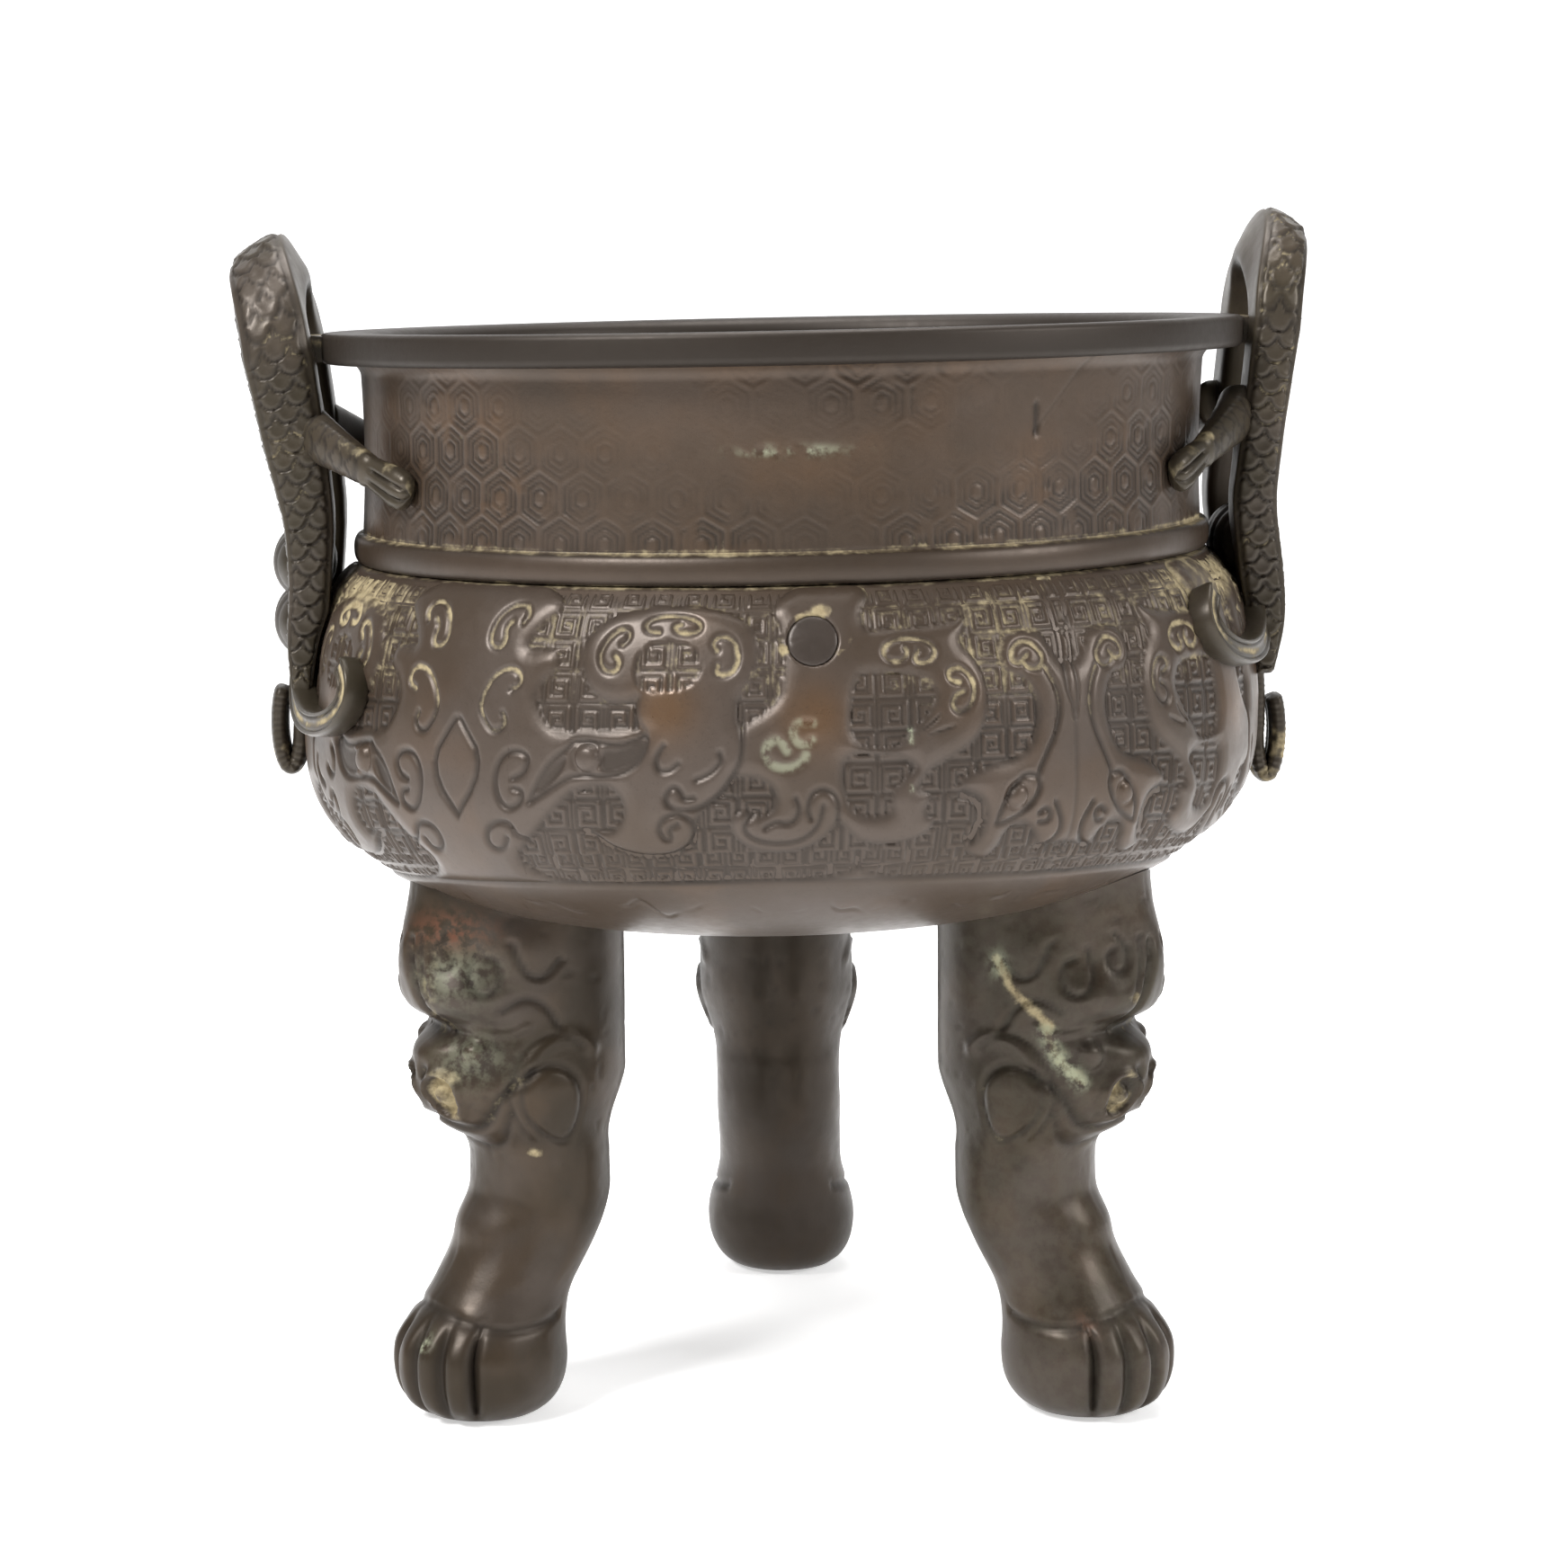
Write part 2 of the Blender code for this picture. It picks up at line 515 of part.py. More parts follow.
def limb(name, frame, spec, side, paw_azimuth):
    """A scaled leg that reaches from a strand round to the neck and ends in a flat paw."""
    s = np.linspace(0.0, 1.0, 6)
    root_u = outer_face(spec, LIMB_ROOT_Z) - LIMB_WIDE
    root = frame.at(np.array(root_u), np.array(side * ARCH_HALF), np.array(LIMB_ROOT_Z))
    angle = radians(paw_azimuth)
    paw_r = NECK_R + 0.15 * LIMB_WIDE
    paw = np.array([paw_r * sin(angle), -paw_r * cos(angle), PAW_Z])
    centres = root + (paw - root) * s[:, None]
    centres[:, 2] += LIMB_SWELL * np.sin(pi * s)
    outward = unit(centres * np.array([1.0, 1.0, 0.0]))
    centres = centres + outward * (1.6 * LIMB_SWELL * np.sin(pi * s))[:, None]
    forward = unit(np.gradient(centres, axis=0))
    across = unit(np.cross(forward, outward))
    up = np.cross(across, forward)
    half = 0.5 * LIMB_WIDE * (1.0 - 0.3 * np.sin(pi * s) ** 2 + 0.15 * s)
    return tube(name, centres, across, up, half, half * (0.9 - 0.35 * s), 6, 2.4)


def hook(name, spec, side):
    """The lower end of a strand, curled along the belly away from the handle's middle."""
    az, z = scroll(0.0, spec["hook_z"], spec["hook_reach"], HOOK_HIGH, HOOK_START, HOOK_END,
                   HOOK_SHRINK, HOOK_STEPS)
    middle = 90.0 * spec["side"] + spec["turn"]
    azimuth = middle + side * (spec["hook_offset"] + az)
    wide = RIBBON_WIDE * np.linspace(1.0, HOOK_TIP, len(z))
    return ribbon(name, azimuth, z, wide, FRIEZE_ROOT, RIBBON_THICK, 6)


def tail(name, frame, spec):
    """The middle tail: a ribbon from between the strands down the belly, its end curled outwards."""
    low = spec["tail_low"] + 0.5 * TAIL_THICK
    down = np.linspace(LOBE_TOP - LOBE_R, low + TAIL_CURL_UP, 5)
    turn = np.radians(np.linspace(TAIL_CURL_START, TAIL_CURL_END, 7))
    u_down = body_radius(down) + 0.5 * TAIL_THICK
    middle = u_down[-1] + TAIL_CURL_OUT
    u = np.concatenate([u_down, middle + TAIL_CURL_OUT * np.cos(turn)])
    z = np.concatenate([down, low + TAIL_CURL_UP + TAIL_CURL_UP * np.sin(turn)])
    centres = frame.at(u, 0.0 * z, z)
    forward = unit(np.gradient(centres, axis=0))
    side = np.broadcast_to(frame.along, centres.shape)
    up = np.cross(side, forward)
    half = np.full(len(z), 0.5 * TAIL_THICK)
    return tube(name, centres, side, up, np.full(len(z), 0.5 * TAIL_WIDE), half, 6, 3.0)


def lobe(name, frame, spec, z, size):
    """One rounded lobe of the ornament that fills the space between the strands."""
    turn = np.radians(np.linspace(-80.0, 80.0, LOBE_STEPS))
    u = np.full(LOBE_STEPS, outer_face(spec, LOBE_TOP) + spec["lobe_proud"] - size)
    centres = frame.at(u, BRIDGE_HALF * np.sin(turn), z)
    side = np.broadcast_to(frame.out, centres.shape)
    up = np.broadcast_to(np.array([0.0, 0.0, 1.0]), centres.shape)
    return tube(name, centres, side, up, size * np.cos(turn), LOBE_TALL * size * np.cos(turn), 8, 2.0)


def saddle(name, frame, spec):
    """The seat of the handle on the rim: a bar between the strands, level with the lip."""
    t = np.array([-BRIDGE_HALF, BRIDGE_HALF])
    z = LIP_TOP - 0.5 * LIP_THICK
    inner = LIP_R - SADDLE_INTO_LIP
    outer = outer_face(spec, z) - SADDLE_SHORT
    centres = frame.at(np.full(2, 0.5 * (inner + outer)), t, np.full(2, z))
    side = np.broadcast_to(frame.out, centres.shape)
    up = np.broadcast_to(np.array([0.0, 0.0, 1.0]), centres.shape)
    return tube(name, centres, side, up, np.full(2, 0.5 * (outer - inner)),
                np.full(2, 0.5 * SADDLE_THICK), 4, 1e6)


def handle(name, spec, trim):
    frame = HandleFrame(spec["side"], spec["turn"])
    made = handle_bar(name, frame, spec)
    parts = [saddle(name + "_saddle", frame, spec), tail(name + "_tail", frame, spec),
             lobe(name + "_upper_lobe", frame, spec, LOBE_TOP, LOBE_R),
             lobe(name + "_lower_lobe", frame, spec, LOBE_TOP - LOBE_STEP, LOBE_R)]
    for side in (-1.0, 1.0):
        end = "near" if side * spec["side"] < 0.0 else "far"
        paw_azimuth = spec["paws"][0] if end == "near" else spec["paws"][1]
        parts.append(limb(name + "_limb_" + end, frame, spec, side, paw_azimuth))
        parts.append(hook(name + "_hook_" + end, spec, side))
    for piece in parts:
        boolean(made, piece, "UNION")
    boolean(made, trim, "DIFFERENCE")
    return made


def stand_on_origin():
    """Move every object so that the middle of the whole piece comes over the origin."""
    graph = bpy.context.evaluated_depsgraph_get()
    corners = []
    for made in bpy.context.scene.objects:
        if not made.hide_render:
            corners += [list(corner) for corner in made.evaluated_get(graph).bound_box]
    low, high = np.min(corners, axis=0), np.max(corners, axis=0)
    for made in bpy.context.scene.objects:
        made.location = (-0.5 * (low[0] + high[0]), -0.5 * (low[1] + high[1]), 0.0)


def main():
    for old in list(bpy.data.objects):
        bpy.data.objects.remove(old)
    bronze = {"vessel": (0.105, 0.078, 0.058), "leg": (0.085, 0.066, 0.048),
              "handle": (0.078, 0.066, 0.054), "plug": (0.060, 0.050, 0.044)}
    body = vessel()
    trim = filled_vessel()
    boolean(body, frieze("masks", mask_bands, MASK_AZIMUTHS), "UNION")
    boolean(body, frieze("dragons", dragon_bands, DRAGON_AZIMUTHS), "UNION")
    boolean(body, disc_on_body("plug_hole", PLUG_R + GAP, PLUG_HOLE_REACH, PLUG_HOLE_REACH), "DIFFERENCE")
    plug = disc_on_body("repair_plug", PLUG_R, WALL, PLUG_PROUD)
    body.data.materials.append(material("vessel_bronze", bronze["vessel"], 0.42, 0.75))
    plug.data.materials.append(material("plug_bronze", bronze["plug"], 0.5, 0.7))
    for name in LEG_AZIMUTHS:
        made = leg(name, trim)
        made.data.materials.append(material(name + "_bronze", bronze["leg"], 0.45, 0.7))
    for name, spec in (("handle_left", LEFT_HANDLE), ("handle_right", RIGHT_HANDLE)):
        made = handle(name, spec, trim)
        made.data.materials.append(material(name + "_bronze", bronze["handle"], 0.5, 0.7))
    stand_on_origin()


main()
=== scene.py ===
# %% [markdown]
# # Bronze tripod censer
#
# A cast bronze incense burner about 24 cm tall: a round bowl with a flat lip, a neck engraved with
# nested hexagons, a bead, and a belly cast with masks and dragons over a ground of squared spirals.
# It stands on three lion-headed paw legs and has two upright arch handles covered in scales.
#
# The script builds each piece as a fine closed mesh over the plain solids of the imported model.
# Every shape is a height or a radius written as a function of two parameters on a grid.

# %% Frame and sizes
from math import cos, pi, radians, sin, tan

import bpy
import numpy as np
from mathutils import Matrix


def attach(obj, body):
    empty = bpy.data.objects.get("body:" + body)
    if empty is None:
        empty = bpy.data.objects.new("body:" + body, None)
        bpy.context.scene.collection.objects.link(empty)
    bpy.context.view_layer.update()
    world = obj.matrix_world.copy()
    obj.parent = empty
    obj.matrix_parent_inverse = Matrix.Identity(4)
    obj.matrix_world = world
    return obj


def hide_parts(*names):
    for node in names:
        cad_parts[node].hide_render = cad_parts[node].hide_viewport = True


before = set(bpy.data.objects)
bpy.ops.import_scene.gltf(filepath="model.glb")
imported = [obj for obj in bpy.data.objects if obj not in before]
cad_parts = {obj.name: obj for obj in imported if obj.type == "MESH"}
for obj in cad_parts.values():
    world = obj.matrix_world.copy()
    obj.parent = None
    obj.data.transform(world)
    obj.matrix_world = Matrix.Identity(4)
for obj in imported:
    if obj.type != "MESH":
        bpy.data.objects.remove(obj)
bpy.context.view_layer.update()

MM = 0.001
SHIFT = np.array([2.609, -0.348, 0.0])      # the vessel's axis stands this far from the origin
SAG = tan(radians(1.15))                    # rim and bands run up to the right

WALL = 3.0
LIP_R = 94.5
LIP_TOP = 219.6
LIP_THICK = 6.2
NECK_R = 86.4
NECK_WAIST = 0.6
NECK_COVE = 1.6
BEAD_TOP = 178.8
BEAD_LOW = 173.0
BEAD_PROUD = 1.9
SHOULDER_R = 85.6
BELLY_R = 98.4
BELLY_WIDEST = 135.5
BELLY_LOW = 99.0

# %% [markdown]
# ## Small tools
#
# Metal shapes meet in soft curves, so heights are mixed with smooth steps. Worn and dirty places
# follow no rule, so they come from value noise: random numbers on a coarse grid, joined by smooth
# curves. All the random numbers come from one fixed table, so each run gives the same piece.

# %% Smooth steps and noise
TABLE = np.random.default_rng(7).random((64, 64, 64)).astype(np.float32)


def step(low, high, x):
    """0 below low, 1 above high, 3t^2 - 2t^3 between them."""
    t = np.clip((x - low) / (high - low), 0.0, 1.0)
    return t * t * (3.0 - 2.0 * t)


def bell(x, wide):
    """A bell curve: 1 at nought, exp(-1) one width away."""
    return np.exp(-(x / wide) ** 2)


def bump(a, z, at_a, at_z, wide, tall):
    """A soft oval spot over two measures, 1 in its middle."""
    return bell(a - at_a, wide) * bell(z - at_z, tall)


def spots(a, z, table):
    """Soft spots added up; each row gives place, size and strength."""
    return sum(strength * bump(a, z, *spot) for *spot, strength in table)


def dome(distance, radius):
    """A half ball over its own radius: 1 in the middle, 0 from the edge on."""
    return np.sqrt(np.clip(1.0 - (distance / radius) ** 2, 0.0, 1.0))


def noise(points, size):
    """Smooth random values from 0 to 1 at 3-D points, read at the eight nearest grid corners."""
    p = np.asarray(points) / size
    cell = np.floor(p).astype(int)
    t = p - cell
    t = t * t * (3.0 - 2.0 * t)
    total = np.zeros(p.shape[:-1])
    for i in (0, 1):
        for j in (0, 1):
            for k in (0, 1):
                x, y, z = np.moveaxis((cell + (i, j, k)) % 64, -1, 0)
                corner = TABLE[x, y, z]
                weight = (np.abs(1 - i - t[..., 0]) * np.abs(1 - j - t[..., 1])
                          * np.abs(1 - k - t[..., 2]))
                total += corner * weight
    return total


def clouds(points, size, layers=3):
    """Layers of noise, each half as large and half as strong as the one before, from 0 to 1."""
    total = np.zeros(np.asarray(points).shape[:-1])
    weight = 0.0
    for layer in range(layers):
        share = 0.5 ** layer
        total += share * noise(np.asarray(points) + 17.3 * layer, size * share)
        weight += share
    return total / weight


print("noise sample", round(float(noise(np.array([[1.0, 2.0, 3.0]]), 5.0)[0]), 4))

# %% [markdown]
# ## From grids to closed meshes
#
# Each piece is rings of points carried along a path: round the axis for the bowl, along a bar for
# a handle. The first and last ring are closed with one flat face each, so the mesh is watertight.

# %% Mesh builder
# The first mark is painted shade and grime: it darkens recesses and places that lie in shadow.
MARKS = ("hollow", "dust", "worn", "green", "red")


def shear(points):
    """The bowl and the handles lean: height grows with x."""
    moved = np.array(points, dtype=float)
    moved[..., 2] += moved[..., 0] * SAG
    return moved


def closed_mesh(name, points, marks, sharp=65.0, lean=True):
    """Rings of points [path, ring, xyz] in mm as one closed mesh; a mark not given is nought."""
    rows, count = points.shape[:2]
    placed = (shear(points) if lean else points) + SHIFT
    flat = np.ascontiguousarray(placed.reshape(-1, 3) * MM, dtype=np.float32)
    index = np.arange(rows * count).reshape(rows, count)
    after = np.roll(index, -1, axis=1)
    quads = np.stack([index[:-1], after[:-1], after[1:], index[1:]], axis=-1).reshape(-1, 4)
    a, b, c, d = (flat[quads[:, k]].astype(float) for k in range(4))
    volume = (a * (np.cross(b, c) + np.cross(c, d))).sum()
    first, last = index[0][::-1], index[-1]
    if volume < 0.0:
        quads, first, last = quads[:, ::-1], first[::-1], last[::-1]
    loops = np.concatenate([quads.ravel(), first, last]).astype(np.int32)
    starts = np.concatenate([np.arange(len(quads)) * 4, [len(quads) * 4, len(quads) * 4 + count]])
    mesh = bpy.data.meshes.new(name)
    mesh.vertices.add(len(flat))
    mesh.vertices.foreach_set("co", flat.ravel())
    mesh.loops.add(len(loops))
    mesh.loops.foreach_set("vertex_index", loops)
    mesh.polygons.add(len(starts))
    mesh.polygons.foreach_set("loop_start", starts.astype(np.int32))
    mesh.update(calc_edges=True)
    mesh.shade_smooth()
    mesh.set_sharp_from_angle(angle=radians(sharp))
    for key in MARKS:
        layer = mesh.attributes.new(key, "FLOAT", "POINT")
        full = np.broadcast_to(marks.get(key, 0.0), (rows, count)).astype(np.float32)
        layer.data.foreach_set("value", np.ascontiguousarray(full).ravel())
    made = bpy.data.objects.new(name, mesh)
    bpy.context.scene.collection.objects.link(made)
    print(f"{name}: {2 * len(quads)} triangles")
    return made


def padded(marks, shape, extra, axis=1):
    """Marks of a front grid, with noughts for the extra rows behind it."""
    behind = (shape[0], extra) if axis == 1 else (extra, shape[1])
    return {key: np.concatenate([np.broadcast_to(value, shape), np.zeros(behind)], axis=axis)
            for key, value in marks.items()}


def place(piece, nodes, material):
    """Hang a finished piece on the model, in place of its plain solids."""
    piece.data.materials.append(material)
    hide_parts(*nodes)
    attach(piece, "root")


# %% [markdown]
# ## Bronze
#
# Old bronze is dark brown where the skin is whole, warmer where hands have rubbed it, and ochre where
# dust has settled. Recesses are painted nearly black, partly as grime and partly as painted shade, and
# the same painted shade darkens the inside of the bowl, the neck beside the handles and the whole back
# leg; the lip is darkened too. The meshes carry how shaded or grimy, how worn and how dusty each point
# is, and one shared node group turns these marks into colour and roughness.

# %% Patina node group and materials
def node(tree, kind, **values):
    """A new node with some of its settings."""
    made = tree.nodes.new(kind)
    for key, value in values.items():
        setattr(made, key, value)
    return made


def math_node(tree, operation, first, second, clamp=False):
    """Join two sockets or numbers by one operation."""
    made = node(tree, "ShaderNodeMath", operation=operation, use_clamp=clamp)
    for i, value in enumerate((first, second)):
        if isinstance(value, float):
            made.inputs[i].default_value = value
        else:
            tree.links.new(value, made.inputs[i])
    return made.outputs[0]


def mixed(tree, share, first, second):
    """Mix two colours by the share of the second; each is a socket or a tuple."""
    made = node(tree, "ShaderNodeMix", data_type="RGBA")
    for i, value in ((0, share), (6, first), (7, second)):
        if isinstance(value, tuple):
            made.inputs[i].default_value = (*value, 1.0)
        else:
            tree.links.new(value, made.inputs[i])
    return made.outputs[2]


def ramp(tree, value, low, high):
    """A smooth step between two values."""
    made = node(tree, "ShaderNodeMapRange", interpolation_type="SMOOTHSTEP")
    tree.links.new(value, made.inputs[0])
    made.inputs[1].default_value = low
    made.inputs[2].default_value = high
    return made.outputs[0]


def cloud_node(tree, where, scale, detail, rough=0.55):
    """Cloudy noise over a position."""
    made = node(tree, "ShaderNodeTexNoise")
    tree.links.new(where, made.inputs["Vector"])
    made.inputs["Scale"].default_value = scale
    made.inputs["Detail"].default_value = detail
    made.inputs["Roughness"].default_value = rough
    return made.outputs[0]


GREY_SKIN = (0.080, 0.063, 0.053)
# Near black, for painted shade and grime in recesses and shadowed places.
DARK_SHADE_AND_GRIME = (0.020, 0.0155, 0.012)
SPECKS = (0.030, 0.024, 0.019)
DUST_DARK, DUST_PALE = (0.21, 0.165, 0.090), (0.34, 0.28, 0.165)
GREEN_CRUST = (0.30, 0.32, 0.22)
RED_RUST = (0.100, 0.042, 0.024)


def patina_group():
    """Colour, roughness, metal share and grain height from position and the marks."""
    group = bpy.data.node_groups.new("bronze patina", "ShaderNodeTree")
    sockets = [("Position", "INPUT", "Vector")]
    sockets += [(key.capitalize(), "INPUT", "Float") for key in MARKS]
    sockets += [("Base", "INPUT", "Color"), ("Warm", "INPUT", "Color"), ("Color", "OUTPUT", "Color")]
    sockets += [(name, "OUTPUT", "Float") for name in ("Roughness", "Metal", "Grain")]
    for name, way, kind in sockets:
        group.interface.new_socket(name, in_out=way, socket_type="NodeSocket" + kind)
    into = node(group, "NodeGroupInput").outputs
    out = node(group, "NodeGroupOutput").inputs

    def times(first, second, clamp=False):
        return math_node(group, "MULTIPLY", first, second, clamp)

    def plus(first, second, clamp=False):
        return math_node(group, "ADD", first, second, clamp)

    def minus(first, second, clamp=False):
        return math_node(group, "SUBTRACT", first, second, clamp)

    where = into["Position"]
    broad = cloud_node(group, where, 28.0, 4.0)
    fine = cloud_node(group, where, 420.0, 3.0, 0.6)
    speck = cloud_node(group, where, 1500.0, 2.0, 0.7)
    grey = times(ramp(group, broad, 0.40, 0.66), 0.55)
    colour = mixed(group, grey, into["Base"], GREY_SKIN)
    worn = times(into["Worn"], ramp(group, broad, 0.25, 0.6), True)
    colour = mixed(group, worn, colour, into["Warm"])
    # Painted shade and grime: the first mark mixes the colour towards near black.
    hollow = times(into["Hollow"], 0.92, True)
    colour = mixed(group, hollow, colour, DARK_SHADE_AND_GRIME)
    mottle = times(ramp(group, speck, 0.55, 0.75), 0.25)
    colour = mixed(group, mottle, colour, SPECKS)
    loose = plus(into["Dust"], times(minus(fine, 0.5), 0.9))
    dust = times(ramp(group, loose, 0.22, 0.85), ramp(group, into["Dust"], 0.0, 0.12))
    tone = mixed(group, ramp(group, fine, 0.3, 0.7), DUST_DARK, DUST_PALE)
    colour = mixed(group, dust, colour, tone)
    green = times(into["Green"], ramp(group, fine, 0.36, 0.62), True)
    colour = mixed(group, green, colour, GREEN_CRUST)
    red = times(into["Red"], ramp(group, fine, 0.38, 0.62), True)
    colour = mixed(group, red, colour, RED_RUST)
    group.links.new(colour, out["Color"])
    rough = minus(plus(0.28, times(fine, 0.18)), times(worn, 0.08))
    rough = plus(plus(rough, times(dust, 0.45)), times(green, 0.3))
    rough = plus(rough, times(hollow, 0.15), True)
    group.links.new(rough, out["Roughness"])
    loss = times(math_node(group, "MAXIMUM", dust, green), 0.50)
    metal = minus(plus(0.30, times(hollow, 0.20)), loss, True)
    group.links.new(metal, out["Metal"])
    grain = plus(times(fine, 0.6), times(speck, 0.4))
    group.links.new(grain, out["Grain"])
    return group


PATINA = patina_group()
GRAIN_HEIGHT = 0.00008          # metres between the lowest and the highest grain


def bronze(name, base, warm, gloss=0.36):
    """A bronze material: the patina group feeds one Principled shader with a fine bump."""
    made = bpy.data.materials.new(name)
    made.use_nodes = True
    tree = made.node_tree
    shader = tree.nodes["Principled BSDF"]
    patina = node(tree, "ShaderNodeGroup", node_tree=PATINA)
    where = node(tree, "ShaderNodeTexCoord").outputs["Object"]
    tree.links.new(where, patina.inputs["Position"])
    for key in MARKS:
        mark = node(tree, "ShaderNodeAttribute", attribute_name=key)
        tree.links.new(mark.outputs["Fac"], patina.inputs[key.capitalize()])
    patina.inputs["Base"].default_value = (*base, 1.0)
    patina.inputs["Warm"].default_value = (*warm, 1.0)
    tree.links.new(patina.outputs["Color"], shader.inputs["Base Color"])
    tree.links.new(patina.outputs["Roughness"], shader.inputs["Roughness"])
    tree.links.new(patina.outputs["Metal"], shader.inputs["Metallic"])
    shader.inputs["Specular IOR Level"].default_value = gloss
    grain = node(tree, "ShaderNodeBump")
    grain.inputs["Strength"].default_value = 0.5
    grain.inputs["Distance"].default_value = GRAIN_HEIGHT
    tree.links.new(patina.outputs["Grain"], grain.inputs["Height"])
    tree.links.new(grain.outputs["Normal"], shader.inputs["Normal"])
    return made


BOWL_BRONZE = bronze("bowl bronze", (0.056, 0.039, 0.027), (0.098, 0.057, 0.031))
LEG_BRONZE = bronze("leg bronze", (0.030, 0.021, 0.012), (0.056, 0.036, 0.020), 0.25)
HANDLE_BRONZE = bronze("handle bronze", (0.040, 0.032, 0.021), (0.064, 0.049, 0.031), 0.27)
PLUG_BRONZE = bronze("plug bronze", (0.028, 0.021, 0.017), (0.036, 0.027, 0.020))
print("materials", len(bpy.data.materials))

# %% [markdown]
# ## The bowl
#
# The real bowl was cast in one, hollow, with a wall of about 3 mm. Its section is a lip, a slightly
# drawn-in neck, a bead, and a belly of two quarter ovals that meet at the widest height. The core
# below is that section turned round the axis. It stays a little under the skin where the engraved
# neck and the cast frieze go, because those are finer sheets of their own.

# %% Section of the bowl
def body_radius(z, inset=0.0):
    """Shoulder and belly: superellipse quarters, power 2.1 above the widest height, 2.2 and 3.3 below."""
    z = np.asarray(z, dtype=float)
    wide = BELLY_R - inset
    top = SHOULDER_R - inset
    up = np.clip((z - BELLY_WIDEST) / (BEAD_LOW - BELLY_WIDEST), 0.0, 1.0)
    upper = top + (wide - top) * (1.0 - up ** 2.1) ** (1.0 / 2.1)
    down = np.clip((BELLY_WIDEST - z) / (BELLY_WIDEST - BELLY_LOW - inset), 0.0, 1.0)
    lower = wide * (1.0 - down ** 2.2) ** (1.0 / 3.3)
    return np.where(z > BELLY_WIDEST, upper, lower)


def neck_radius(z):
    """The neck draws in half way down and curves out under the lip."""
    low, high = BEAD_TOP, LIP_TOP - LIP_THICK
    share = np.clip((z - low) / (high - low), 0.0, 1.0)
    cove = NECK_COVE * np.clip(1.0 - (high - z) / (1.6 * NECK_COVE), 0.0, 1.0) ** 2
    return NECK_R - NECK_WAIST * np.sin(pi * share) + cove


def around(r, azimuth, z):
    """Points at a radius, an azimuth in degrees from the front and a height."""
    a = np.radians(azimuth)
    return np.stack(np.broadcast_arrays(r * np.sin(a), -r * np.cos(a), z), axis=-1)


def under(z, low, high):
    """How far the core dips under a sheet that lies between two heights."""
    return 0.9 * step(low + 0.2, low + 1.0, z) * (1.0 - step(high - 1.0, high - 0.2, z))


NECK_SHEET = (179.1, 213.2)
FRIEZE_SHEET = (104.0, 172.7)
LOW_BEND, TOP_BEND = 1.6, 1.2   # radii of the lip's lower and upper outer edge
END_R = 0.4                     # radius of the first and last ring, so that no ring is a point
CORE_COLUMNS = 128


def bend(r, z, radius, start, end, count):
    """An arc of the outline round a point (r, z), between two angles in degrees."""
    turn = np.radians(np.linspace(start, end, count))
    return np.stack([r + radius * np.cos(turn), z + radius * np.sin(turn)], axis=-1)


def bowl_profile():
    """Outline from the middle of the underside over the lip to the floor, and its rows inside."""
    deep, high = BELLY_WIDEST - BELLY_LOW, BEAD_LOW - BELLY_WIDEST
    fall = np.linspace(1.0, 0.0, 46)
    z_low = BELLY_WIDEST - deep * np.sin(0.5 * pi * fall) ** 0.7
    z_high = BELLY_WIDEST + high * np.sin(np.linspace(0.0, 0.5 * pi, 22)[1:])
    z = np.concatenate([z_low, z_high])
    low = np.stack([np.maximum(body_radius(z) - under(z, *FRIEZE_SHEET), END_R), z], axis=-1)
    turn = np.radians(np.linspace(-75.0, 80.0, 14))
    z = BEAD_LOW + 0.5 * (BEAD_TOP - BEAD_LOW) * (1.0 + np.sin(turn))
    bead = np.stack([NECK_R + BEAD_PROUD * np.cos(turn) ** 0.6, z], axis=-1)
    z = np.concatenate([[BEAD_TOP + 0.1], np.linspace(NECK_SHEET[0], NECK_SHEET[1] + 0.15, 40)])
    neck = np.stack([neck_radius(z) - under(z, *NECK_SHEET), z], axis=-1)
    lower = bend(LIP_R - LOW_BEND, LIP_TOP - LIP_THICK + LOW_BEND, LOW_BEND, -90.0, 0.0, 6)
    upper = bend(LIP_R - TOP_BEND, LIP_TOP - TOP_BEND, TOP_BEND, 0.0, 90.0, 6)
    inner_r = NECK_R - WALL
    inner = np.array([[inner_r + 2.6, LIP_TOP - 0.1], [inner_r + 1.2, LIP_TOP - 0.6],
                      [inner_r + 0.3, LIP_TOP - 1.6], [inner_r, LIP_TOP - 3.0]])
    inner_neck = np.stack([np.full(8, inner_r), np.linspace(LIP_TOP - 6.0, BEAD_TOP - 1.0, 8)], axis=-1)
    z_high = BELLY_WIDEST + high * np.cos(np.linspace(0.15, 0.5 * pi, 14))
    z_low = BELLY_WIDEST - (deep - WALL) * np.sin(np.linspace(0.0, 0.5 * pi, 26)[1:]) ** 0.8
    z = np.concatenate([z_high, z_low])
    floor = np.stack([np.maximum(body_radius(z, WALL), END_R), z], axis=-1)
    outline = np.concatenate([low, bead, neck, lower, upper, inner, inner_neck, floor])
    return outline, len(inner_neck) + len(floor)


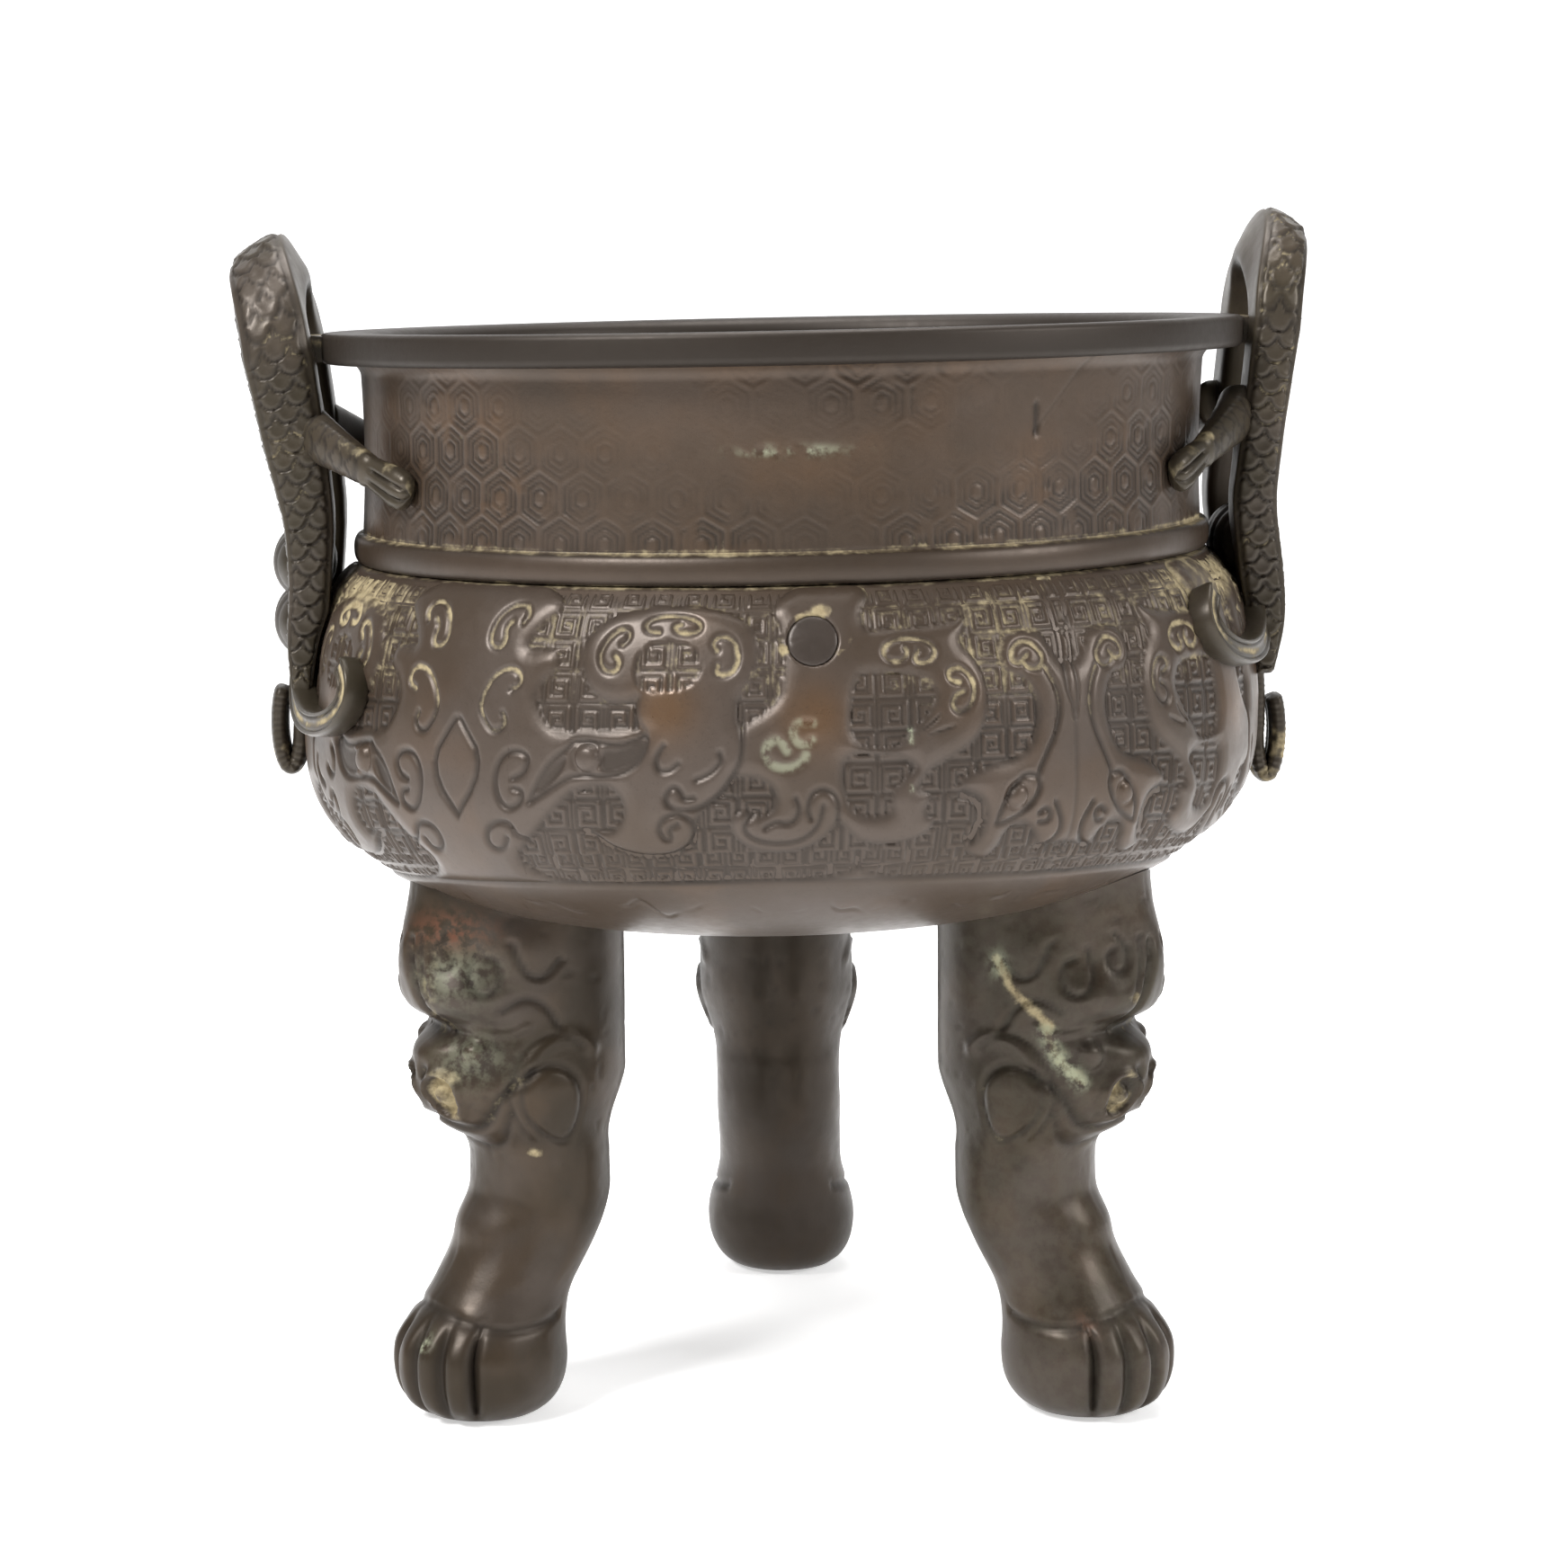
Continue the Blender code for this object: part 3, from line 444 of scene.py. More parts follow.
outline, inside_rows = bowl_profile()
azimuth = np.linspace(0.0, 360.0, CORE_COLUMNS, endpoint=False)
flat_radius, height = outline[:, :1], outline[:, 1:]
core_points = around(flat_radius, azimuth, height)
outside = (np.arange(len(outline)) < len(outline) - inside_rows)[:, None]
seam = bell(height - BEAD_TOP - 0.2, 0.55) + 0.9 * bell(height - BEAD_LOW + 0.2, 0.5)
bead_crest = bell(flat_radius - NECK_R - BEAD_PROUD, 0.5)
core_marks = {
    # Painted shade darkens the inside of the bowl and the crease under the bead; the lip and the bead are
    # darkened as well.
    "hollow": np.where(outside, 0.35 * bell(height - BEAD_LOW, 0.8) + 0.95 * (height > LIP_TOP - 7.5)
                       + 0.35 * (height > BEAD_LOW) * (height < BEAD_TOP), 0.85),
    "dust": seam * (0.15 + 0.8 * clouds(core_points, 9.0)) * outside * (flat_radius > 84.0),
    "worn": 0.25 * (np.hypot(flat_radius - LIP_R, height - LIP_TOP) < 1.3) + 0.3 * bead_crest,
}
core = closed_mesh("bowl_core", core_points, core_marks)
place(core, ["vessel"], BOWL_BRONZE)

# %% [markdown]
# ## Skin of the belly
#
# Ornament is drawn on the belly with two measures: the azimuth in degrees, and the length along the
# section in mm, nought at the widest height. A table turns that length into radius and height.

# %% From azimuth and length to points on the belly
turn = np.linspace(-0.5 * pi, 0.5 * pi, 1600)
SKIN_Z = np.where(turn < 0.0, BELLY_WIDEST + (BELLY_WIDEST - BELLY_LOW - 0.02) * np.sin(turn),
                  BELLY_WIDEST + (BEAD_LOW - BELLY_WIDEST - 0.01) * np.sin(turn))
SKIN_R = body_radius(SKIN_Z)
SKIN_S = np.concatenate([[0.0], np.cumsum(np.hypot(np.diff(SKIN_R), np.diff(SKIN_Z)))])
SKIN_S -= np.interp(BELLY_WIDEST, SKIN_Z, SKIN_S)
SKIN_OUT = np.gradient(SKIN_Z, SKIN_S)
SKIN_UP = -np.gradient(SKIN_R, SKIN_S)


def length_at(z):
    """Length along the section at a height."""
    return np.interp(z, SKIN_Z, SKIN_S)


def skin(azimuth, s, lift):
    """Points at an azimuth in degrees, a length s and a lift square to the skin."""
    azimuth, s, lift = np.broadcast_arrays(azimuth, s, lift)
    out, up = np.interp(s, SKIN_S, SKIN_OUT), np.interp(s, SKIN_S, SKIN_UP)
    scale = 1.0 / np.hypot(out, up)
    r = np.interp(s, SKIN_S, SKIN_R) + lift * out * scale
    z = np.interp(s, SKIN_S, SKIN_Z) + lift * up * scale
    return around(r, azimuth, z)


def tile(name, front, back, marks):
    """Close a front grid and a back grid [path, row, xyz] into one sheet of the vessel."""
    rings = np.concatenate([front, back[:, ::-1]], axis=1)
    made = closed_mesh(name, rings, padded(marks, front.shape[:2], back.shape[1]), sharp=80.0)
    place(made, ["vessel"], BOWL_BRONZE)


print("section length from", round(float(SKIN_S[0]), 1), "to", round(float(SKIN_S[-1]), 1), "mm")

# %% [markdown]
# ## The neck and its hexagons
#
# The neck band was engraved with rows of hexagons, one inside the other, and a century of handling
# has rubbed most of it smooth. Each point knows how far it lies inside its own hexagon; a groove is
# cut where that distance takes one of three values. A mask says where the engraving has survived.

# %% Hexagon grooves
HEX_PITCH = 360.0 / 57.0
HEX_HALF = 4.76
HEX_ROWS = 8.5
HEX_SIDE = 3.0
HEX_RISE = 2.7
HEX_LOW = 180.5                 # height of the first row
KEPT = ((-40.0, 183.0, 22.0, 13.0, 1.5), (-52.0, 202.0, 12.0, 9.0, 0.7), (38.0, 182.0, 22.0, 9.5, 1.5),
        (58.0, 196.0, 12.0, 14.0, 1.0), (12.0, 209.0, 15.0, 6.0, 0.6), (-9.0, 182.0, 10.0, 6.0, 0.5))
FRONT_CUTS = ((0.95, 2.1, 3.35), 0.36)      # insets of the grooves and their width
BACK_CUTS = ((0.7, 3.0), 0.62)              # fewer and wider, because the grid is coarser there


def hex_inset(azimuth, z):
    """Distance to the nearest edge of the hexagon that holds the point, in mm."""
    best = np.full(np.broadcast(azimuth, z).shape, -9.0)
    nearest = np.round((z - HEX_LOW) / HEX_ROWS)
    slope = np.hypot(HEX_RISE, HEX_HALF)
    for k in (-1, 0, 1):
        row = nearest + k
        offset = 2.8 + 0.5 * HEX_PITCH * (row % 2)
        turn = (azimuth - offset + 0.5 * HEX_PITCH) % HEX_PITCH - 0.5 * HEX_PITCH
        x = turn * (2.0 * HEX_HALF / HEX_PITCH)
        y = z - HEX_LOW - HEX_ROWS * row
        slant = ((HEX_SIDE + HEX_RISE - np.abs(y)) * HEX_HALF - HEX_RISE * np.abs(x)) / slope
        best = np.maximum(best, np.minimum(HEX_HALF - np.abs(x), slant))
    return best


def neck_relief(azimuth, z):
    """Lift and marks of the engraved neck."""
    where = np.stack(np.broadcast_arrays(azimuth * 1.5, z, 0.0), axis=-1)
    rub = clouds(where, 12.0)
    inset = hex_inset(azimuth, z)
    kept = spots(azimuth, z, KEPT) + 0.7 * (np.abs(azimuth) > 90.0)
    broken = 0.25 + step(0.30, 0.60, clouds(where + 9.0, 4.0))
    kept = np.clip(kept * (0.1 + 1.6 * rub) * broken, 0.0, 0.92)
    insets, wide = BACK_CUTS if np.max(azimuth) > 100.0 else FRONT_CUTS
    groove = sum(bell(inset - k, wide) for k in insets) * kept
    broad = 0.12 * (clouds(where, 30.0, 2) - 0.5)
    scar = bump(azimuth, z, 0.9, 197.6, 5.6, 1.0) * step(0.35, 0.5, clouds(where, 3.0))
    nick = bell(azimuth - 33.6, 0.45) * step(198.0, 199.5, z) * (1.0 - step(204.5, 206.0, z))
    along = (azimuth - 38.2) / 8.4
    scratch = bell(z - 202.0 - 13.0 * (along + 0.4), 0.5) * (np.abs(along) < 0.6)
    lift = broad - 0.38 * groove - 0.25 * scar - 0.35 * nick - 0.15 * scratch
    low_edge = bell(z - 179.4, 0.5)
    # Painted shade darkens the neck next to the handles; grime and painted shade darken the grooves,
    # nick, scar and scratch.
    handle_shade = 0.45 * bell(np.abs(azimuth) - 84.0, 11.0)
    marks = {
        "hollow": np.clip(0.10 + 0.85 * groove + 0.8 * nick + 0.35 * scar + 0.25 * scratch + handle_shade,
                          0.0, 1.0),
        "dust": (0.75 * low_edge * (0.1 + 0.9 * clouds(where, 8.0))
                 + 0.30 * groove * step(0.45, 0.75, rub)
                 + 0.45 * bump(azimuth, z, 73.0, 194.0, 5.0, 12.0) * rub
                 + 0.35 * bump(azimuth, z, 72.0, 179.2, 9.0, 1.6)),
        "worn": (0.35 + 0.65 * step(0.3, 0.7, rub)) * (1.0 - 0.6 * kept) * 0.8,
        "green": 0.8 * scar,
    }
    return lift, marks


def neck_tile(name, start, end, count, rows):
    """A closed sheet of the neck between two azimuths."""
    azimuth = np.linspace(start, end, count)[:, None]
    z = np.linspace(NECK_SHEET[1], NECK_SHEET[0], rows)[None, :]
    lift, marks = neck_relief(azimuth, z)
    rim = step(0.0, 0.7, np.minimum(NECK_SHEET[1] - z, z - NECK_SHEET[0]))
    r = neck_radius(z) + lift * rim - 0.12 * (1.0 - rim)
    z_back = np.linspace(NECK_SHEET[1], NECK_SHEET[0], 5)[None, :]
    tile(name, around(r, azimuth, z), around(neck_radius(z_back) - 1.4, azimuth, z_back), marks)


neck_tile("neck_front", -92.0, 92.0, 600, 76)
neck_tile("neck_back", 91.7, 268.3, 320, 48)

# %% [markdown]
# ## The frieze
#
# Masks and dragons stand a little above a ground filled with squared spirals, with scrolls cut into
# them as round-bottomed grooves. One half of a mask and one half of a dragon pair make a panel. The
# panel is drawn once, in degrees from the mask's middle line and mm along the skin, and is mirrored
# round the belly. Grooves follow broken lines whose corners are cut off twice, which leaves curves.

# %% Drawing of one panel
GROUND = [
    [(8.7, 41), (12.7, 35.9), (9.6, 31.6), (8, 26.7), (11.8, 27.6), (12.8, 26), (12.7, 23.7),
     (11.2, 22.3), (10.1, 19.3), (10.6, 16.3), (11.8, 13.6), (13.2, 12.3), (15.9, 12.1), (19.6,
     12.6), (22.5, 12.7), (24, 11.8), (22.8, 14.1), (22.5, 16.2), (22.8, 19.3), (21.8, 18.2), (20.2,
     17.8), (18.1, 18.5), (16.5, 21.2), (15.7, 25.4), (16, 29.3), (17.8, 32.6), (20.7, 34.9), (25.2,
     35.7), (29.2, 35.6), (31.8, 34.6), (34.4, 32.5), (35.6, 29.1), (35.8, 25.2), (35, 21.3), (33.4,
     18.2), (33.4, 15.2), (33.5, 13.1), (35, 13.4), (38.2, 17.3), (38.7, 22), (38.8, 25.9), (38.7,
     30.6), (37.1, 34.9), (39.3, 39.6), (39.6, 42.3), (27.5, 42.3), (12.9, 42.3)],
    [(6.3, -12), (9.5, -7), (11.9, -2.9), (14.9, 1.6), (15.1, 1.6), (17.6, 2.8), (19.6, 2.7), (21,
     0.4), (21.3, -2.7), (20.2, -5.7), (18.9, -6.4), (16.5, -6.1), (17.8, -6.9), (19.5, -9.5),
     (22.6, -11.4), (25.9, -11.4), (28.2, -9.6), (29.1, -6.6), (29, -3.7), (30.4, -1.4), (32.1,
     0.9), (33.3, 4.2), (34.6, 3.9), (36.2, 3.5), (37.8, 1.5), (38, -1.6), (36.7, -4), (35, -3.2),
     (33.7, -2.7), (32.7, -5.1), (33.8, -8.9), (36.3, -10.9), (39.7, -11), (42.6, -8.8), (44.4,
     -4.6), (45.1, -5.7), (46.5, -8.5), (47.2, -8.9), (47.7, -17.7), (29.3, -18.1), (17.8, -18.4),
     (10, -17.4)],
    [(48, 42.3), (48.5, 37.7), (47.2, 34.5), (47.2, 31.5), (48, 30), (49.4, 30.1), (53.7, 30.4),
     (58.3, 31.2), (59.8, 32.7), (59.2, 29.6), (58.3, 27.5), (60, 24.6), (61.1, 20.5), (61.3, 17.4),
     (61.1, 14), (60.5, 11.6), (59.2, 9), (57.2, 7), (54.1, 4.4), (53.4, 2.5), (53, 0.6), (54.7,
     -0.3), (53.6, -3.4), (55.3, -5.6), (53.3, -8.7), (49, -9.8), (46.3, -8.5), (46.8, -17.9),
     (62.8, -17.6), (74.1, -18.3), (73, -11.7), (71.6, -9.7), (68.7, -11.6), (67.4, -7.3), (65.8,
     -5.4), (63.7, -6.9), (63.1, -11), (61.7, -14), (59, -11.5), (60.1, -10), (61.1, -7.8), (61.4,
     -3.7), (60.5, -0.5), (58.2, 0.8), (58, 2.3), (61.2, 4.7), (64.4, 5.5), (66.5, 7.7), (67.4,
     11.4), (67.8, 15.2), (67.2, 18.6), (66.1, 21.1), (65, 21), (63.5, 22.5), (63.2, 25.4), (64,
     28), (65.8, 29.1), (68.8, 28.5), (69.6, 26.1), (71, 22.5), (72.1, 22.1), (73.2, 25.4), (76.6,
     38.5), (64, 40.5)],
    [(46.6, 22.4), (48.1, 22.8), (53, 22.4), (54.6, 20.9), (55.5, 17.8), (54.8, 15.5), (53.1,
     11.8), (52.1, 11), (51.1, 8.8), (49.9, 8.1), (46.9, 8.6), (45.5, 11.7), (45.8, 18.6)],
    [(45.1, 7.9), (49.9, 7.7), (51.7, 6.8), (53.4, 4.8), (51.7, 3), (50.2, 0.1), (50.5, -4), (47.6,
     -4.5), (45.5, -2.7), (44.6, 3.2)],
]
ROUNDEL = [(24.5, 28.9), (22.8, 27.4), (21.8, 24.7), (21.9, 21.6), (22.9, 19.6), (24.6, 19.2),
           (27.9, 19.6), (29.3, 21.5), (29.9, 24.2), (29.4, 26.9), (27.6, 28.5), (25.9, 29.1)]
DENTS = [
    [(10.6, 0.8), (11.7, 4.5), (13.1, 7.1), (14.6, 8.8), (14.7, 6.7), (13.2, 3.3)],
    [(18.5, 9.7), (20.9, 9.3), (23.6, 11.4), (23.6, 8.9), (22.3, 6.1), (19.9, 4.8), (18.3, 5.1)],
    [(55.8, 15.1), (54.7, 13.5), (53.1, 11.2), (54, 11.4), (55.7, 13.5)],
    [(53.9, 10.9), (55.8, 12), (57.7, 12.7), (56.9, 11.5), (54.6, 10.5)],
]
SCROLLS = [
    [(7.4, 32), (8.1, 33.7), (7.3, 35.5), (5.5, 35.4), (3.9, 33.2), (3.2, 29.8), (3.7, 27.6), (5.1,
     27.3), (5.6, 28.9), (5.2, 31.1), (5.9, 32.2)],
    [(7.2, 19.9), (8.4, 20.8), (8.3, 22.9), (7, 23.9), (5.2, 23), (3.8, 20.3), (3.1, 16.9), (3.9,
     14.3), (5, 12.5), (6.3, 12.8), (6.8, 14.5), (6.3, 15.8)],
    [(7.9, 4.1), (9.4, 5.1), (10, 7.7), (8.9, 9.1), (7, 8.9), (5.7, 6.2), (5.5, 2.8), (6.2, -0.3),
     (7.4, -1.4), (9, -0.1), (9.1, 2), (7.9, 2.4)],
    [(6.5, -6.9), (5.8, -9.1), (4.3, -9.3), (3.5, -7.3), (4.1, -4.8), (5.8, -3.5), (7.3, -4.2),
     (7.8, -6.5), (9, -7.4)],
    [(0.3, 14.8), (4.3, 6.4), (-1.5, -5.2)],
    [(10, -0.1), (11.3, 4.1), (13, 7.7), (15, 9.8), (15.3, 10.7), (17.5, 10.6), (20.7, 9.8), (22.7,
     11), (24, 11.6), (23.6, 8.5), (22.5, 6), (20.6, 4.5), (18.1, 4.4), (15.8, 4.6), (14.5, 4.1),
     (12.4, 2), (10, -0.1)],
    [(27.2, -4.7), (26.2, -5.7), (26.5, -7.6), (25.7, -7.8), (25, -5.7), (25.5, -3.6), (27.1,
     -2.5), (28.6, -3.7), (29.1, -6.6), (28.2, -9.6), (25.9, -11.4), (22.6, -11.4), (19.5, -9.5),
     (17.8, -6.9), (16.5, -6.1)],
    [(25.7, 9.8), (24.8, 7.7), (25.2, 5), (26.5, 5.2), (27.3, 6.5)],
    [(31.8, 8.3), (32, 6.7), (30.9, 4.6), (29.3, 3.5)],
    [(29, 0.2), (27.9, -0.1), (27.6, 1.4), (26.8, 2.5), (25.8, 0.7), (26.3, -1.6), (28, -2.2),
     (30.1, -1.4), (32, 0.9), (33.3, 4.2), (34.2, 7.8), (34.1, 12.9)],
    [(20.4, 28.1), (21.2, 29.2), (21, 31), (19.7, 30.9), (18.4, 28.6), (17.8, 25.8), (18.6, 23.3),
     (19.9, 23.1), (20.4, 24.9), (19.8, 26)],
    [(24.6, 30.5), (23.4, 30.5), (22.8, 31.8), (24.1, 33.5), (26.9, 33.6), (28.9, 32.6), (29.4,
     31.1), (28.5, 30.1), (26.9, 30.3), (26.3, 31.3), (27, 31.9)],
    [(31.3, 26.9), (30.7, 28.1), (31.5, 29.6), (33, 29), (33.7, 26.2), (33.4, 23.3), (32.2, 22.2),
     (31.2, 22.8), (31.4, 24.1)],
    [(53.5, 26), (52.9, 24.3), (54.2, 23.5), (55.5, 25.1), (55.3, 27.1), (54, 28.2), (51.8, 28.4),
     (50.2, 27.7), (49.4, 26), (50.1, 24.3), (51.6, 24.1), (52.4, 25.7), (52, 26.7)],
    [(58, 20), (56.8, 20.6), (56.8, 22.3), (58.2, 23), (59.6, 20.6), (59.8, 17.9), (59, 15.3),
     (57.7, 14.5), (57, 15.8), (57.4, 17.7), (58.4, 18.3)],
    [(66.5, 24.4), (65.4, 22.8), (64.4, 23.8), (64.9, 26.2), (66.5, 27.2), (68, 25.6), (68.7,
     23.5), (67.8, 21.8), (66.6, 22), (66, 23.3)],
    [(68.8, 21.9), (69.9, 18.8), (70.3, 15.4), (69.8, 11.3), (68.3, 6.8), (67.1, 3.2), (67.6, 1.1),
     (66.8, -1.5), (65.3, -4.1), (63.5, -5.6), (62.4, -5.8)],
    [(62.4, -5.8), (63, -1.8), (64.5, 1.6), (65.6, 3.3), (67.2, 2.9)],
    [(67.6, -4), (68.4, -2.9), (69.2, -4), (68.9, -5.6), (67.8, -5.8)],
    [(69.7, -2.1), (70.9, -5.7), (70.7, -8.7), (69.6, -10.6), (68.4, -11.6)],
    [(58.2, -0.6), (60, -1.6), (60.6, -4.4), (60.2, -8.2), (59.2, -9)],
    [(35.3, -3.1), (34.2, -5.5), (35.1, -7.9), (37.6, -9.1), (40.6, -8.5), (42.4, -5.4), (42.8,
     -1.8)],
    [(41.5, -4.1), (41.1, -2.1), (41.6, 0.8), (43.1, 1.5), (44.5, -0.7), (44.4, -4.6)],
    [(39.9, -0.3), (40.4, -2.5), (39.5, -5.1), (37.7, -4.6), (36.6, -5.8)],
]
INLAY = [
    [(38.9, 8.4), (38.1, 10.6), (36.9, 10.1), (36.5, 7.7), (37.3, 5.7), (39.1, 5.1), (40.6, 6.3),
     (40.9, 7.6)],
    [(41.6, 13.4), (40.2, 13.6), (39.4, 11.9), (39.8, 10), (41, 9.3), (41.5, 10.3)],
]

SPREAD = 1.71                   # mm on the skin for one degree
REACH = 3.0                     # distances to a line are worked out this far, in mm
HALF = 72.3                     # degrees of the panel from a mask's middle to a dragon line
FACES = (0.0, HALF, 120.0, 167.7, 215.4, 287.7, 360.0)      # degrees round from the first dragon line
FACE_U = (HALF, 0.0, HALF, 0.0, HALF, 0.0, HALF)
FIRST_DRAGON = 33.9
PANEL_LOW = -18.0
EYES = ((17.0, 7.7, 2.3, 0.9), (64.8, -0.7, 1.9, 0.6))      # degrees, mm, radius and height
BOSSES = ((25.8, 16.2, 34.0), (41.8, 14.1, 38.0))           # degrees, mm and size
BANKS = ((-64.0, 170.0, 13.0, 5.0, 1.0), (70.0, 169.0, 15.0, 6.0, 1.0))
PLUG_AZ, PLUG_Z, PLUG_R = 3.4, 163.6, 4.8


def curve(line, closed=False):
    """A broken line in degrees and mm, with its corners cut off twice, in mm."""
    p = np.array(line, dtype=float) * (SPREAD, 1.0)
    for _ in range(2):
        after = np.roll(p, -1, axis=0) if closed else p[1:]
        before = p if closed else p[:-1]
        cut = np.stack([0.75 * before + 0.25 * after, 0.25 * before + 0.75 * after], axis=1)
        cut = cut.reshape(-1, 2)
        p = cut if closed else np.concatenate([p[:1], cut, p[-1:]])
    return np.concatenate([p, p[:1]]) if closed else p


def line_distance(x, y, p):
    """Distance in mm to a curve, never more than the reach."""
    low, high = p.min(axis=0) - REACH, p.max(axis=0) + REACH
    near = (x > low[0]) & (x < high[0]) & (y > low[1]) & (y < high[1])
    px, py = x[near], y[near]
    best = np.full(px.shape, REACH)
    for (ax, ay), (bx, by) in zip(p[:-1], p[1:]):
        dx, dy = bx - ax, by - ay
        t = np.clip(((px - ax) * dx + (py - ay) * dy) / max(dx * dx + dy * dy, 1e-9), 0.0, 1.0)
        best = np.minimum(best, np.hypot(px - ax - t * dx, py - ay - t * dy))
    out = np.full(x.shape, REACH)
    out[near] = best
    return out


def depth_inside(x, y, p):
    """Signed distance to a closed curve, above nought inside it."""
    distance = line_distance(x, y, p)
    crossings = np.zeros(x.shape, dtype=int)
    for (ax, ay), (bx, by) in zip(p[:-1], p[1:]):
        level = (ay > y) != (by > y)
        crossings += level & (x < ax + (y - ay) * (bx - ax) / (by - ay + 1e-12))
    return np.where(crossings % 2 == 1, distance, -distance)


def nearest_line(x, y, lines):
    """Distance in mm to the nearest of some drawn lines."""
    out = np.full(x.shape, REACH)
    for line in lines:
        out = np.minimum(out, line_distance(x, y, curve(line)))
    return out


def deepest(x, y, shapes):
    """Signed distance to some drawn shapes, above nought inside one of them."""
    out = np.full(x.shape, -REACH)
    for shape in shapes:
        out = np.maximum(out, depth_inside(x, y, curve(shape, True)))
    return out


def spirals(x, y, wide=5.0, tall=4.8, pitch=1.42):
    """Squared spirals, one to a cell: 1 in the middle of a groove, 0 on a ridge."""
    i, j = np.floor(x / wide), np.floor(y / tall)
    px = (x - (i + 0.5) * wide) * np.where((i + j) % 2 == 0, 1.0, -1.0)
    py = y - (j + 0.5) * tall
    flat = np.abs(px) > np.abs(py)
    side = np.where(flat, np.where(px > 0.0, 0.0, 2.0), np.where(py > 0.0, 1.0, 3.0))
    f = (np.maximum(np.abs(px), np.abs(py)) + pitch * side / 4.0) / pitch
    groove = 0.5 - 0.5 * np.cos(2.0 * pi * f)
    border = np.minimum(0.5 * wide - np.abs(px), 0.5 * tall - np.abs(py))
    return np.maximum(groove, bell(border, 0.38))


